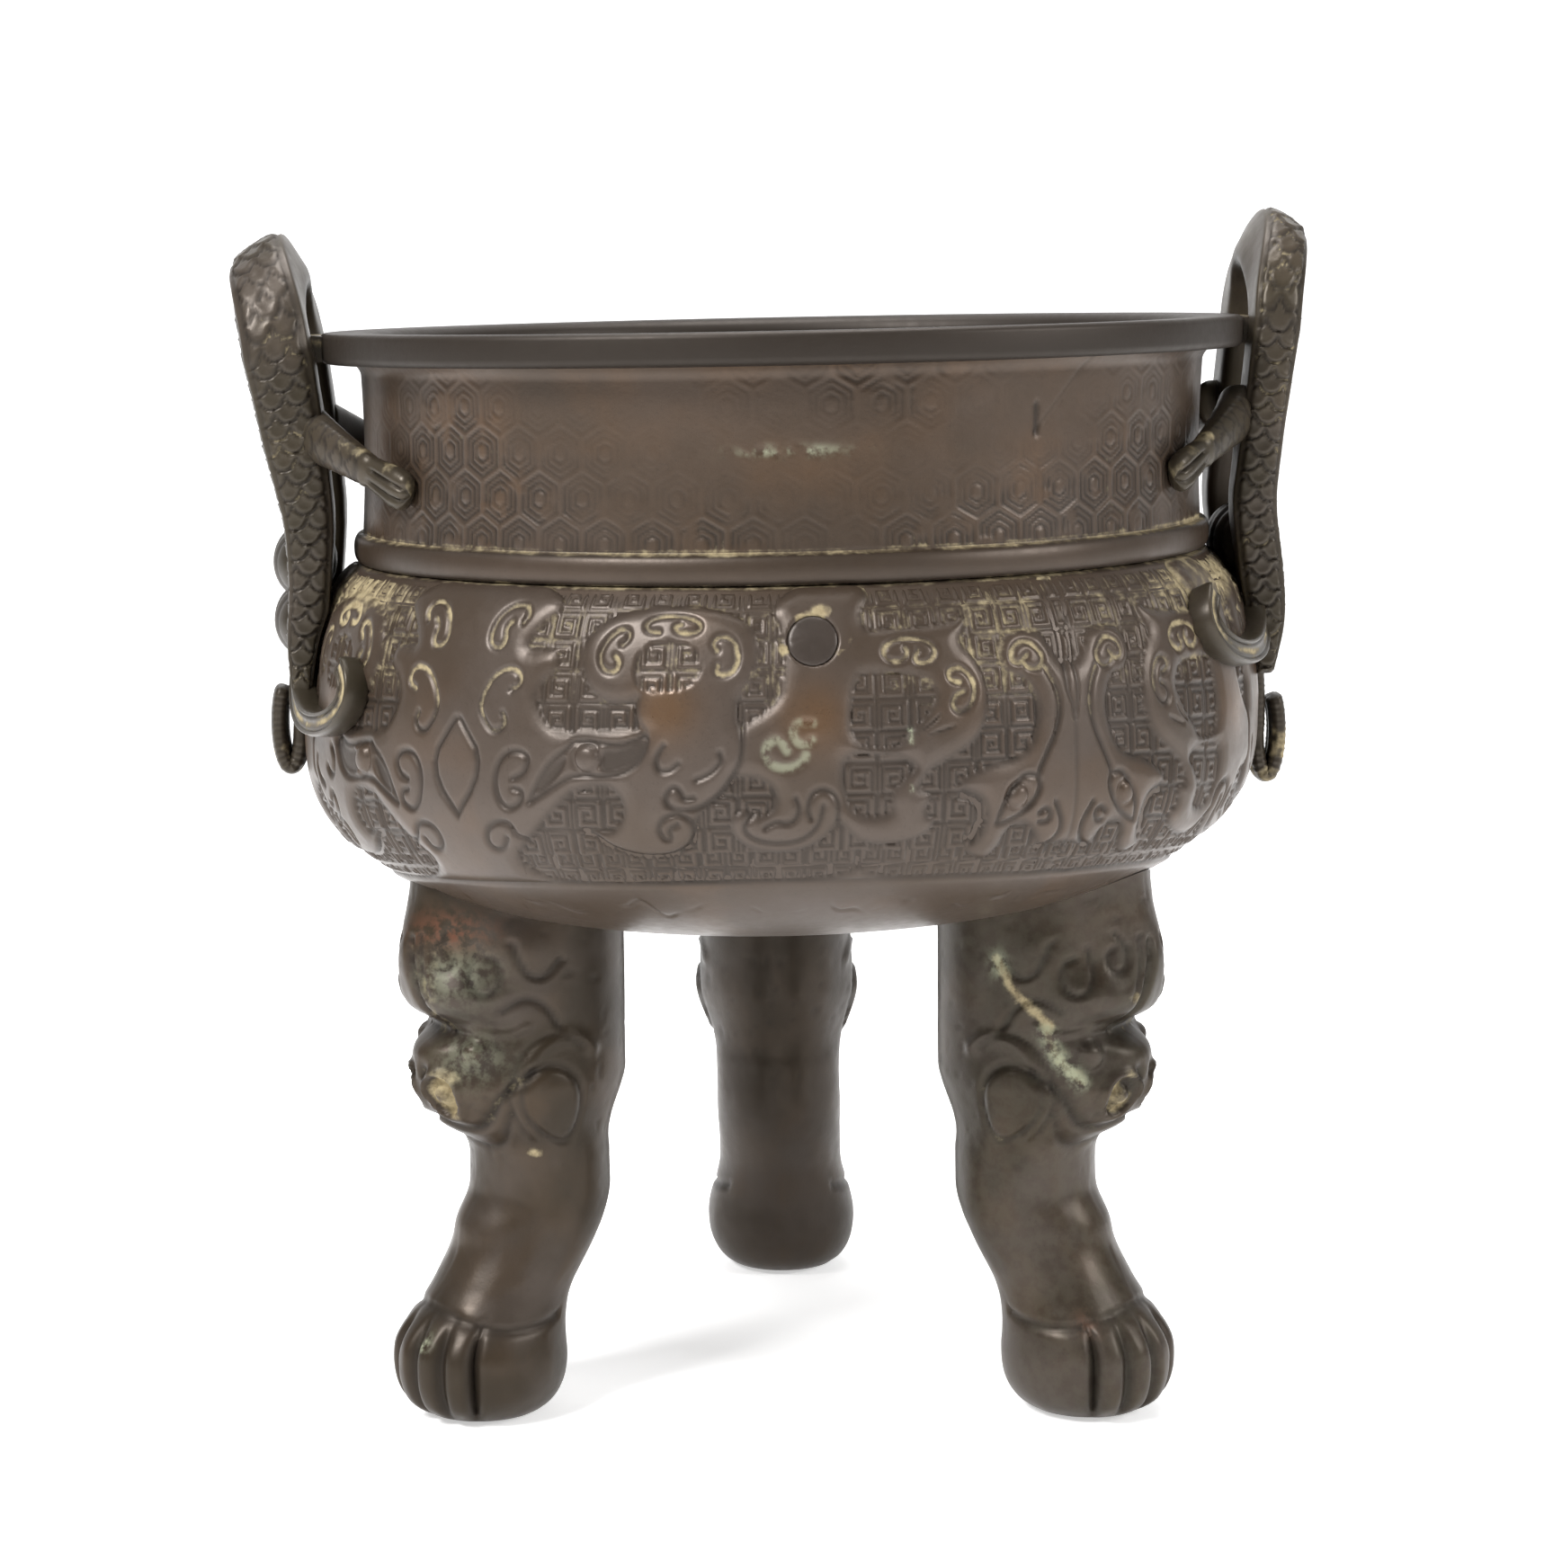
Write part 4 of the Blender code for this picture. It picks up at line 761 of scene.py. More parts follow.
def frieze_relief(azimuth, s):
    """Lift and marks of the belly's ornament at azimuths in degrees and lengths in mm."""
    azimuth, s = np.broadcast_arrays(azimuth, s)
    wrapped = (azimuth + 180.0) % 360.0 - 180.0
    u = np.interp((azimuth - FIRST_DRAGON) % 360.0, FACES, FACE_U)
    fold = np.minimum(np.abs(wrapped), 180.0 - np.abs(wrapped))
    droop = 8.5 * (np.minimum(fold, 75.0) / 60.0) ** 1.8
    y = s + droop * np.clip((42.0 - s) / 60.0, 0.0, 1.0)
    x = SPREAD * u
    z = np.interp(s, SKIN_S, SKIN_Z)
    where = np.stack([azimuth * SPREAD, s, 0.0 * s], axis=-1)
    rub = clouds(where, 16.0)
    ground = deepest(x, y, GROUND)
    roundel = deepest(x, y, [ROUNDEL])
    dent = deepest(x, y, DENTS)
    scroll = nearest_line(x, y, SCROLLS)
    inlay = np.where(np.abs(wrapped - 1.5) < 14.0, nearest_line(x, y, INLAY), REACH)
    sunk = step(-0.15, 0.5, ground)
    disc = step(-0.1, 0.4, roundel)
    low_strip = step(-11.5, -10.5, y)
    fill = low_strip * spirals(x, y, 6.4, 5.8, 1.5) + (1.0 - low_strip) * spirals(x, y)
    carved = np.maximum(sunk, disc) * fill
    groove = bell(scroll, 0.55)
    edge = bell(ground + 0.2, 0.55)
    pit = step(-0.2, 0.6, dent)
    border = bell(y - PANEL_LOW, 0.7)
    bosses = sum(np.exp(-((x - u_at * SPREAD) ** 2 + (y - y_at) ** 2) / size)
                 for u_at, y_at, size in BOSSES)
    crack_x = (70.6 + 0.05 * (40.0 - y)) * SPREAD + 3.0 * (clouds(where, 6.0) - 0.5)
    by_crack = np.abs(wrapped - FIRST_DRAGON) < 6.0
    crack = bell(x - crack_x, 0.4) * step(12.0, 14.0, y) * by_crack
    seam = bell(x - HALF * SPREAD, 0.5) * (y < 13.0) * (y > PANEL_LOW)
    from_plug = np.hypot((wrapped - PLUG_AZ) * SPREAD, s - length_at(PLUG_Z))
    wide_ring = np.abs(from_plug - 5.1)
    plug_hole = 1.0 - step(4.3, 5.0, from_plug)
    swell = 0.38 * step(0.0, 3.0, -ground) * step(PANEL_LOW, -15.0, y)
    drift = y + 27.0 + 2.6 * np.sin(0.30 * x + 3.0 * rub) + 1.2 * np.sin(0.83 * x)
    cloud_band = 0.6 * bell(drift, 0.9) * step(0.45, 0.65, clouds(where + 50.0, 9.0))
    lift = (swell - 0.36 * sunk - 0.46 * carved - 0.58 * groove - 0.22 * edge - 0.6 * pit
            - 0.45 * cloud_band - 0.28 * border + 0.375 * bosses + 0.10 * (rub - 0.5)
            - 0.35 * crack - 0.15 * seam - 2.0 * plug_hole - 0.3 * bell(inlay, 0.9))
    for u_at, y_at, radius, tall in EYES:
        away = np.hypot(x - u_at * SPREAD, y - y_at)
        lift = lift + tall * dome(away, radius) - 0.4 * bell(away - radius - 0.4, 0.5)
    cut = np.clip(0.85 * carved + 0.9 * groove + 0.5 * edge + 0.7 * pit + 0.5 * border + 0.1 * sunk
                  + 0.4 * cloud_band, 0.0, 1.0)
    high = step(146.0, 158.0, z)
    inlaid = np.exp(-(inlay / 0.85) ** 4)
    banked = spots(wrapped, z, BANKS) * (0.35 + 0.8 * clouds(where, 5.0))
    chips = (bell(x - 52.3 * SPREAD, 0.35) * (np.abs(wrapped - 14.0) < 3.0)
             * (bell(y - 11.8, 0.5) + bell(y - 10.1, 0.7) + bell(y - 1.1, 0.5)))
    plug_dust = (0.95 * bell(wide_ring - 0.6, 1.6) * step(0.45, 0.65, clouds(where, 4.0))
                 * (s > length_at(PLUG_Z) - 3.0))
    crack_dust = (0.35 * bell(np.abs(x - crack_x) - 0.9, 0.5) * (y > 12.0) * step(0.4, 0.7, rub)
                  * by_crack)
    marks = {
        # The first mark darkens the grooves with grime and painted shade, and the crack and the seam as
        # dark joints.
        "hollow": (cut * (1.0 - 0.45 * high) * (0.75 + 0.5 * (rub - 0.5)) + 0.5 * crack + 0.4 * seam
                   + 0.35 * (1.0 - step(94.0, 104.0, z))),
        "dust": (cut * high * (0.10 + 0.70 * rub) * (1.0 - 0.5 * step(68.0, 71.0, u))
                 + 0.5 * bell(172.6 - z, 0.35)
                 + 0.30 * groove * step(140.0, 150.0, z) * (0.3 + 1.2 * clouds(where, 6.0))
                 + 0.75 * banked + plug_dust + crack_dust),
        "worn": (np.clip(1.1 * bosses, 0.0, 1.0) + 0.3 * step(0.55, 0.8, rub)) * (1.0 - cut),
        "green": 0.42 * inlaid + 1.6 * chips,
    }
    return lift, marks


def frieze_tile(name, start, end, count, rows):
    """A closed sheet of the belly between two azimuths."""
    azimuth = np.linspace(start, end, count)[:, None]
    top, bottom = length_at(FRIEZE_SHEET[1]), length_at(FRIEZE_SHEET[0])
    s = np.linspace(top, bottom, rows)[None, :]
    lift, marks = frieze_relief(azimuth, s)
    rim = step(0.0, 0.6, np.minimum(top - s, s - bottom))
    front = skin(azimuth, s, lift * rim - 0.12 * (1.0 - rim))
    back = skin(azimuth, np.linspace(top, bottom, 7)[None, :], -1.9)
    tile(name, front, back, marks)


# %% Frieze tiles round the belly
FRONT_GRID, BACK_GRID = (270, 194), (210, 100)
TILES = (("frieze_left", -95.0, -31.0, FRONT_GRID), ("frieze_middle", -31.1, 31.1, FRONT_GRID),
         ("frieze_right", 31.0, 95.0, FRONT_GRID), ("frieze_back_right", 94.9, 180.1, BACK_GRID),
         ("frieze_back_left", 180.0, 265.1, BACK_GRID))
for name, start, end, grid in TILES:
    frieze_tile(name, start, end, *grid)

# %% [markdown]
# ## The repair plug
#
# A cast bowl often has a small fault. Here a round plug was let into the shoulder and hammered flat;
# it stands half a millimetre proud, its edge has gathered dirt, and grime and painted shade darken it.

# %% Plug
ring = np.radians(np.linspace(0.0, 360.0, 72, endpoint=False))[None, :]
share = np.array([0.02, 0.2, 0.4, 0.6, 0.8, 0.92, 0.98, 1.0, 1.0, 0.97, 0.6, 0.02])[:, None]
lifts = np.array([0.34, 0.34, 0.34, 0.32, 0.28, 0.18, 0.02, -0.2, -0.8, -1.6, -1.7, -1.7])[:, None]
plug_az = PLUG_AZ + PLUG_R * share * np.cos(ring) / SPREAD
plug_s = length_at(PLUG_Z) + PLUG_R * share * np.sin(ring)
wobble = 0.25 * (clouds(np.stack([plug_az, plug_s, 0.0 * plug_s], axis=-1), 1.5) - 0.5)
# Grime and painted shade darken the plug's edge.
plug_marks = {"hollow": 0.35 * (share > 0.95), "worn": 0.2,
              "dust": 0.25 * (share > 0.96) * (np.sin(ring) > 0.1)}
plug = closed_mesh("plug", skin(plug_az, plug_s, lifts + wobble * (lifts > 0.1)), plug_marks)
place(plug, ["repair_plug"], PLUG_BRONZE)

# %% [markdown]
# ## The legs
#
# Each leg was cast apart: a lion's head that holds the bowl on its crown, a short shank and a paw.
# The two front legs and the back leg come from one model. A leg is a ring of radii carried from the
# floor up into the bowl; the face is a sum of soft bumps and grooves over the angle and the height.

# %% Leg shape
LEG_TOP = 120.0
FOOT_HEIGHT = 24.0
KNEE_Z = 46.0
HEAD_LOW = 56.0
FOOT_OUT, KNEE_OUT, HEAD_OUT = 71.2, 57.6, 61.6             # mm from the axis
FOOT_HALVES, SHANK_HALVES, HEAD_GROWS = (17.3, 17.0), (14.4, 14.0), (7.9, 3.0)
TOP_INSIDE = 1.2                # the top of a leg ends this far inside the bowl's wall
LION = ((0.0, 94.5, 26.0, 9.5, 3.8), (36.0, 88.0, 24.0, 4.5, 2.6), (0.0, 80.6, 44.0, 2.6, -5.4),
        (46.0, 78.5, 11.0, 3.2, 1.6), (0.0, 73.0, 26.0, 4.4, 0.9), (19.0, 66.5, 10.0, 3.6, 1.2),
        (0.0, 60.5, 48.0, 3.0, 2.2), (92.0, 67.0, 20.0, 8.0, 1.3), (74.0, 97.0, 16.0, 6.0, 1.2),
        (0.0, 39.5, 44.0, 4.5, 1.9))


def leg_middle(z):
    """How far the middle of a leg stands from the axis at a height."""
    low = FOOT_OUT + (KNEE_OUT - FOOT_OUT) * step(0.55 * FOOT_HEIGHT, KNEE_Z, z)
    return low + (HEAD_OUT - KNEE_OUT) * step(KNEE_Z + 6.0, HEAD_LOW + 12.0, z)


def leg_halves(z):
    """Half depth and half width of a leg at a height."""
    bulge = np.clip((z - 0.5 * FOOT_HEIGHT) / (0.5 * FOOT_HEIGHT), -1.0, 1.0)
    low = np.where(bulge < 0.0, 0.5 + 0.5 * (1.0 - np.abs(bulge) ** 2.4) ** 0.5, 1.0)
    ankle = step(0.5 * FOOT_HEIGHT, 1.15 * FOOT_HEIGHT, z)
    head = step(HEAD_LOW - 2.0, HEAD_LOW + 14.0, z)
    return [low * foot + (shank - low * foot) * ankle + grows * head
            for foot, shank, grows in zip(FOOT_HALVES, SHANK_HALVES, HEAD_GROWS)]


FACE_MM = 0.36                  # mm on the head for one degree
CREST_LINE = ((7.0, 99.0), (11.0, 90.5), (16.0, 84.5), (24.0, 81.0))
JAW_LINE = ((76.0, 73.0), (61.0, 68.5), (48.0, 63.2), (33.0, 60.4), (17.0, 60.8), (0.0, 62.5))
BROW_LINE = ((20.0, 81.0), (40.0, 81.6), (62.0, 80.0), (74.0, 82.0))
EAR_LINE = ((68.0, 59.0), (69.0, 66.0), (73.0, 73.5), (84.0, 78.5), (100.0, 79.5), (112.0, 76.0))
CURLS = (((30.0, 101.0), (22.0, 98.0), (24.0, 93.5), (32.0, 93.0), (35.0, 96.5), (30.0, 98.0)),
         ((46.0, 98.0), (42.0, 92.0), (50.0, 88.0), (60.0, 90.0), (60.0, 95.0), (53.0, 96.0)),
         ((66.0, 99.0), (72.0, 93.0), (82.0, 91.0), (92.0, 95.0)),
         ((14.0, 100.0), (15.0, 94.0), (20.0, 88.0)),
         ((60.0, 85.0), (72.0, 88.0), (84.0, 86.0), (92.0, 81.0)))


def curve_mm(line):
    """A curve over the face, its corners cut off, in mm."""
    return curve([(p * FACE_MM / SPREAD, q) for p, q in line])


def leg_relief(angle, z):
    """Lift and marks of a leg's face and paw; angle in degrees from straight out."""
    a = np.abs(angle)
    lift = spots(a, z, LION)
    toes = sum(bell(a - g, 4.2) for g in (12.0, 35.0, 58.0))
    paw = step(0.0, 0.17 * FOOT_HEIGHT, z) * (1.0 - step(0.62 * FOOT_HEIGHT, FOOT_HEIGHT, z))
    lift = lift + (0.9 * (a < 58.0) - 1.9 * toes) * paw
    crease = bell(z - 21.5 - 1.6 * np.cos(np.radians(2.0 * angle)), 0.9) * (a < 130.0)
    x, z_all = np.broadcast_arrays(FACE_MM * a, z)

    def near(line, wide):
        return bell(line_distance(x, z_all, curve_mm(line)), wide)

    crest = near(CREST_LINE, 0.75)
    jaw_line = near(JAW_LINE, 0.8)
    jaw_under = near([(p, q - 4.6) for p, q in JAW_LINE[1:]], 0.7)
    brow = near(BROW_LINE, 0.7)
    ear = near(EAR_LINE, 1.3)
    ear_edge = near([(p - 6.0, q + 0.6) for p, q in EAR_LINE], 0.6)
    curls = sum(near(line, 0.6) for line in CURLS)
    hairs = 0.5 + 0.5 * np.cos(2.0 * pi * (a - 0.8 * (z - 84.0)) / 2.5)
    lash = hairs * bump(a, z, 32.0, 84.0, 14.0, 1.8)
    eye = np.hypot(x - FACE_MM * 43.0, z - 76.0)
    eyeball = dome(eye, 2.9)
    socket = bump(a, z, 44.0, 75.5, 18.0, 5.0)
    boss = np.hypot(x - FACE_MM * 20.0, z - 67.4)
    ring_at = bell(boss - 4.9, 0.8)
    pool = 1.0 - step(3.2, 4.3, boss)
    knob = dome(boss, 2.1)
    nostril = bump(a, z, 8.0, 71.8, 3.6, 1.6)
    oval = np.hypot((a - 86.0) / 17.0, (z - 65.5) / 8.2)
    cheek = bell(oval - 1.0, 0.10)
    disc = 1.0 - step(0.80, 1.0, oval)
    where = np.stack([x + 0.0 * z, z_all, np.sign(angle) * 7.0 + 0.0 * x], axis=-1)
    rub = clouds(where + 31.0, 9.0)
    pits = step(0.60, 0.78, clouds(where, 2.0))
    lift = (lift - 0.7 * crease - 1.3 * crest - 1.1 * jaw_line - 0.6 * jaw_under + 0.6 * brow + 0.7 * ear
            - 0.5 * ear_edge - 0.7 * curls - 0.35 * lash - 1.3 * socket + 1.5 * eyeball + 0.9 * ring_at
            - 2.0 * pool + 1.6 * knob - 1.2 * nostril - 0.6 * cheek + 0.35 * disc + 0.45 * (rub - 0.5)
            - 0.16 * pits * (z > 50.0))
    dark = np.clip(0.8 * toes * paw + 0.5 * crease + 0.8 * crest + 0.75 * jaw_line + 0.45 * jaw_under
                   + 0.35 * ear_edge + 0.6 * curls + 0.7 * lash + 0.9 * bump(a, z, 0.0, 80.6, 30.0, 1.9)
                   + 0.55 * socket * (1.0 - eyeball) + 0.7 * pool * (1.0 - knob) + 0.8 * nostril
                   + 0.45 * cheek + 0.25 * pits * (z > 50.0), 0.0, 1.0)
    marks = {
        # The first mark darkens the whole leg a little, and its creases, grooves, eye sockets and
        # nostrils more, with grime and painted shade.
        "hollow": 0.12 + dark * (0.75 + 0.5 * rub),
        "dust": (0.40 * dark * step(0.40, 0.7, rub) + 0.5 * pool * step(0.35, 0.6, rub)) * (z > 54.0),
        "worn": step(0.40, 0.75, rub) * (0.5 + 0.4 * disc) * (1.0 - dark),
        "green": 0.0,
        "red": 0.0,
    }
    return lift, marks


def belly_underside(r):
    """Height of the bowl's skin over a distance from the axis, below the widest height."""
    share = np.clip(r / BELLY_R, 0.0, 0.999)
    return BELLY_WIDEST - (BELLY_WIDEST - BELLY_LOW) * (1.0 - share ** 3.3) ** (1.0 / 2.2)


def leg_points(azimuth, sway_top, sway_foot, columns, rows, stains_and_shade):
    """Rings from the sole up; the top follows the bowl's underside, a little inside its wall."""
    angle = np.linspace(-180.0, 180.0, columns, endpoint=False)[None, :]
    a = np.radians(angle)
    top = np.full(angle.shape, 105.0)
    for _ in range(12):
        deep, wide = leg_halves(top)
        out = leg_middle(top) + (deep + leg_relief(angle, top)[0]) * np.cos(a)
        side = wide * np.sin(a) + sway_top * top / LEG_TOP
        top = 0.5 * top + 0.5 * (belly_underside(np.hypot(out, side)) + TOP_INSIDE)
    level = np.linspace(0.0, 1.0, rows)[:, None]
    z = top * level
    lift, marks = leg_relief(angle, z)
    stains_and_shade(angle, z, lift, marks)
    deep, wide = leg_halves(z)
    lift = lift * step(0.0, 1.2, z)
    out = leg_middle(z) + (deep + lift) * np.cos(a)
    side = (wide + lift) * np.sin(a) + sway_foot + (sway_top - sway_foot) * z / LEG_TOP
    close = np.array([0.86, 0.66, 0.42, 0.2, 0.02])[:, None]
    mid_out, mid_side = leg_middle(100.0), sway_top
    cap_out = mid_out + (out[-1:] - mid_out) * close
    cap_side = mid_side + (side[-1:] - mid_side) * close
    cap_z = belly_underside(np.hypot(cap_out, cap_side)) + TOP_INSIDE
    out = np.concatenate([out, cap_out])
    side = np.concatenate([side, cap_side])
    z = np.concatenate([z, cap_z])
    t = radians(azimuth)
    points = np.stack([out * sin(t) + side * cos(t), -out * cos(t) + side * sin(t), z], axis=-1)
    return points, padded(marks, (rows, columns), len(close), axis=0)


LEFT_SPOTS = {
    "red": ((30.0, 101.0, 24.0, 3.5, 1.1),),
    "green": ((40.0, 75.5, 20.0, 5.0, 0.28), (34.0, 93.0, 20.0, 6.0, 0.3), (20.0, 17.0, 5.0, 1.8, 0.8)),
    "dust": ((26.0, 71.5, 9.0, 2.0, 0.55), (24.0, 63.6, 5.0, 1.6, 0.5), (62.0, 55.0, 7.0, 1.1, 0.7),
             (22.0, 89.0, 6.0, 7.0, 0.35)),
    # This spot darkens a patch high on the head.
    "hollow": ((44.0, 92.0, 12.0, 4.0, 0.35),),
}
RIGHT_SPOTS = {
    "red": ((-58.0, 21.0, 9.0, 2.6, 0.4),),
    "green": ((-94.0, 94.0, 5.0, 2.5, 0.7),),
    "dust": ((-20.0, 71.5, 9.0, 1.6, 0.45), (-19.0, 88.0, 5.0, 1.8, 0.6)),
}
CHEEK_SEAM = ((95.0, 95.0), (84.0, 88.0), (66.0, 82.5))
EYE_MOON = ((68.0, 81.0), (62.0, 75.5), (49.0, 71.0))


def stain(angle, z, marks, table):
    """Add soft spots to the marks they name."""
    for key, rows in table.items():
        marks[key] = marks[key] + spots(angle, z, rows)


def left_stains(angle, z, lift, marks):
    """Red residue at the top, a pitted greenish dip by the eye, a darker spot high on the head, a pale
    spot on the paw.
    """
    stain(angle, z, marks, LEFT_SPOTS)


def right_stains(angle, z, lift, marks):
    """Ochre along the cheek line, a white-green crescent by the eye, a rusty spot on the paw."""
    x, level = np.broadcast_arrays(FACE_MM * np.abs(angle), z)
    here = angle < 0.0
    seam = bell(line_distance(x, level, curve_mm(CHEEK_SEAM)), 1.1) * here
    moon = bell(line_distance(x, level, curve_mm(EYE_MOON)), 1.6) * here
    stain(angle, z, marks, RIGHT_SPOTS)
    marks["green"] = marks["green"] + 0.9 * moon
    marks["dust"] = marks["dust"] + 0.8 * seam + 0.5 * moon
    lift += 0.6 * moon


def back_leg_shade(angle, z, lift, marks):
    """The back leg shows no visible residue; painted shade darkens it all over."""
    # Painted shade over the whole back leg.
    marks["hollow"] = marks["hollow"] + 0.3


# %% Three legs
LEGS = (("leg_front_left", -60.0, 0.0, 1.5, left_stains, 160),
        ("leg_front_right", 60.0, -1.6, 1.5, right_stains, 160),
        ("leg_back", 180.0, 2.0, -0.3, back_leg_shade, 110))
for name, azimuth, sway_top, sway_foot, stains_and_shade, fine in LEGS:
    points, marks = leg_points(azimuth, sway_top, sway_foot, fine, fine, stains_and_shade)
    made = closed_mesh(name.replace("leg", "lion_leg"), points, marks, sharp=80.0, lean=False)
    place(made, [name], LEG_BRONZE)

# %% [markdown]
# ## The handles
#
# Each handle is an upside-down U of solid bar whose back is covered in fish scales. Two short limbs
# with clawed paws hold it to the neck, its lower ends curl along the shoulder as hooks, and a tail
# hangs down between them. All are bars carried along a path, joined into one piece as they were cast.

# %% Bars along a path
ARCH_HALF = 17.0
ARCH_BAR = 13.0
STRAND_ROWS, CROWN_ROWS, BAR_COLUMNS = 205, 84, 84
SMOOTH = 25                     # rows over which the outer line is averaged
SCALE_R, SCALE_GAP = 2.55, 3.1
LIMB_Z, PAW_Z = 201.0, 188.5
UP = np.array([0.0, 0.0, 1.0])
BAR_HEIGHTS = (148.0, 158.0, 168.0, 182.0, 198.0, 214.0, 228.0, 242.0)
LEFT = {
    "side": -1.0, "turn": 3.0, "crown": 238.5,
    "outer": (100.0, 101.0, 100.2, 100.9, 104.8, 108.2, 110.8, 110.8),
    "width": (7.0, 8.0, 8.2, 10.0, 12.6, 13.8, 13.2, 12.6),
    "hook_offset": 21.0, "hook_z": 152.0, "hook_reach": 13.0, "lobe": 105.0, "tail_low": 129.0,
    "paws": (-55.0, -119.0),
}
RIGHT = {
    "side": 1.0, "turn": 2.0, "crown": 240.3,
    "outer": (100.0, 102.4, 101.6, 99.6, 101.0, 103.3, 105.0, 106.3),
    "width": (7.0, 8.0, 9.0, 9.0, 8.6, 9.4, 10.0, 10.4),
    "hook_offset": 24.0, "hook_z": 162.0, "hook_reach": 14.5, "lobe": 102.0, "tail_low": 122.0,
    "paws": (61.0, 121.0),
}


def unit(vectors):
    """The same directions, each one long."""
    return vectors / np.linalg.norm(vectors, axis=-1, keepdims=True)


def bar(centres, sides, ups, half_side, half_up, count, power, relief, ends=0.0):
    """A bar along a path: superellipse section, relief square to it, ends drawn in over a length."""
    turn = np.linspace(0.0, 2.0 * pi, count, endpoint=False)[None, :]
    c, s = np.cos(turn), np.sin(turn)
    round_out = (np.abs(c) ** power + np.abs(s) ** power) ** (-1.0 / power)
    along = np.concatenate([[0.0], np.cumsum(np.linalg.norm(np.diff(centres, axis=0), axis=-1))])
    if ends:
        near = np.clip(np.minimum(along, along[-1] - along) / ends, 0.0, 1.0)
        draw = 0.05 + 0.95 * np.sqrt(np.clip(1.0 - (1.0 - near) ** 2, 0.0, 1.0))
        half_side, half_up = half_side * draw, half_up * draw
    x = c * round_out * half_side[:, None]
    y = s * round_out * half_up[:, None]
    lift, marks = relief(x, y, *np.broadcast_arrays(c, s, along[:, None]))
    square = np.sqrt(round_out)
    x, y = x + lift * c / square, y + lift * s / square
    return centres[:, None] + x[..., None] * sides[:, None] + y[..., None] * ups[:, None], marks


def fish_scales(w, a, radius, gap):
    """Overlapping scales whose free edges point to larger a: height from 0 to 1, and the groove."""
    height = np.zeros(w.shape)
    groove = np.zeros(w.shape)
    row_at = np.floor(a / gap)
    for k in (1, 0, -1, -2):
        row = row_at + k
        shift = radius * (row % 2)
        dw = (w + shift + radius) % (2.0 * radius) - radius
        da = a - row * gap
        d = np.hypot(dw, da * 0.92)
        cover = (d < radius * 1.06) & (da > -0.6 * radius)
        height = np.where(cover, 0.25 + 0.75 * np.clip(d / radius, 0.0, 1.0) ** 2, height)
        groove = np.where(cover, bell(d - radius, 0.48) * step(-0.2, 0.9, da), groove)
    return height, groove


def merge(name, grids):
    """Several closed grids as one mesh object."""
    pieces = [closed_mesh(name if k == 0 else name + "_part", points, marks, sharp=75.0)
              for k, (points, marks) in enumerate(grids)]
    with bpy.context.temp_override(active_object=pieces[0], object=pieces[0], selected_objects=pieces,
                                   selected_editable_objects=pieces):
        bpy.ops.object.join()
    return pieces[0]


# %% [markdown]
# ### Parts of a handle
#
# The path of the bar goes up one strand, round the crown and down the other. Its section is broad
# across the thickness of the arch and narrow from front to back; relief is added square to it.

# %% Parts of a handle
def frame_of(spec):
    """Outward and sideways directions of a handle."""
    angle = radians(90.0 * spec["side"] + spec["turn"])
    out = np.array([sin(angle), -cos(angle), 0.0])
    return out, np.cross(UP, out)


def at(spec, u, t, z):
    """Points at a distance out from the axis, a distance sideways and a height."""
    out, along = frame_of(spec)
    u, t, z = np.broadcast_arrays(u, t, z)
    return u[..., None] * out + t[..., None] * along + z[..., None] * UP


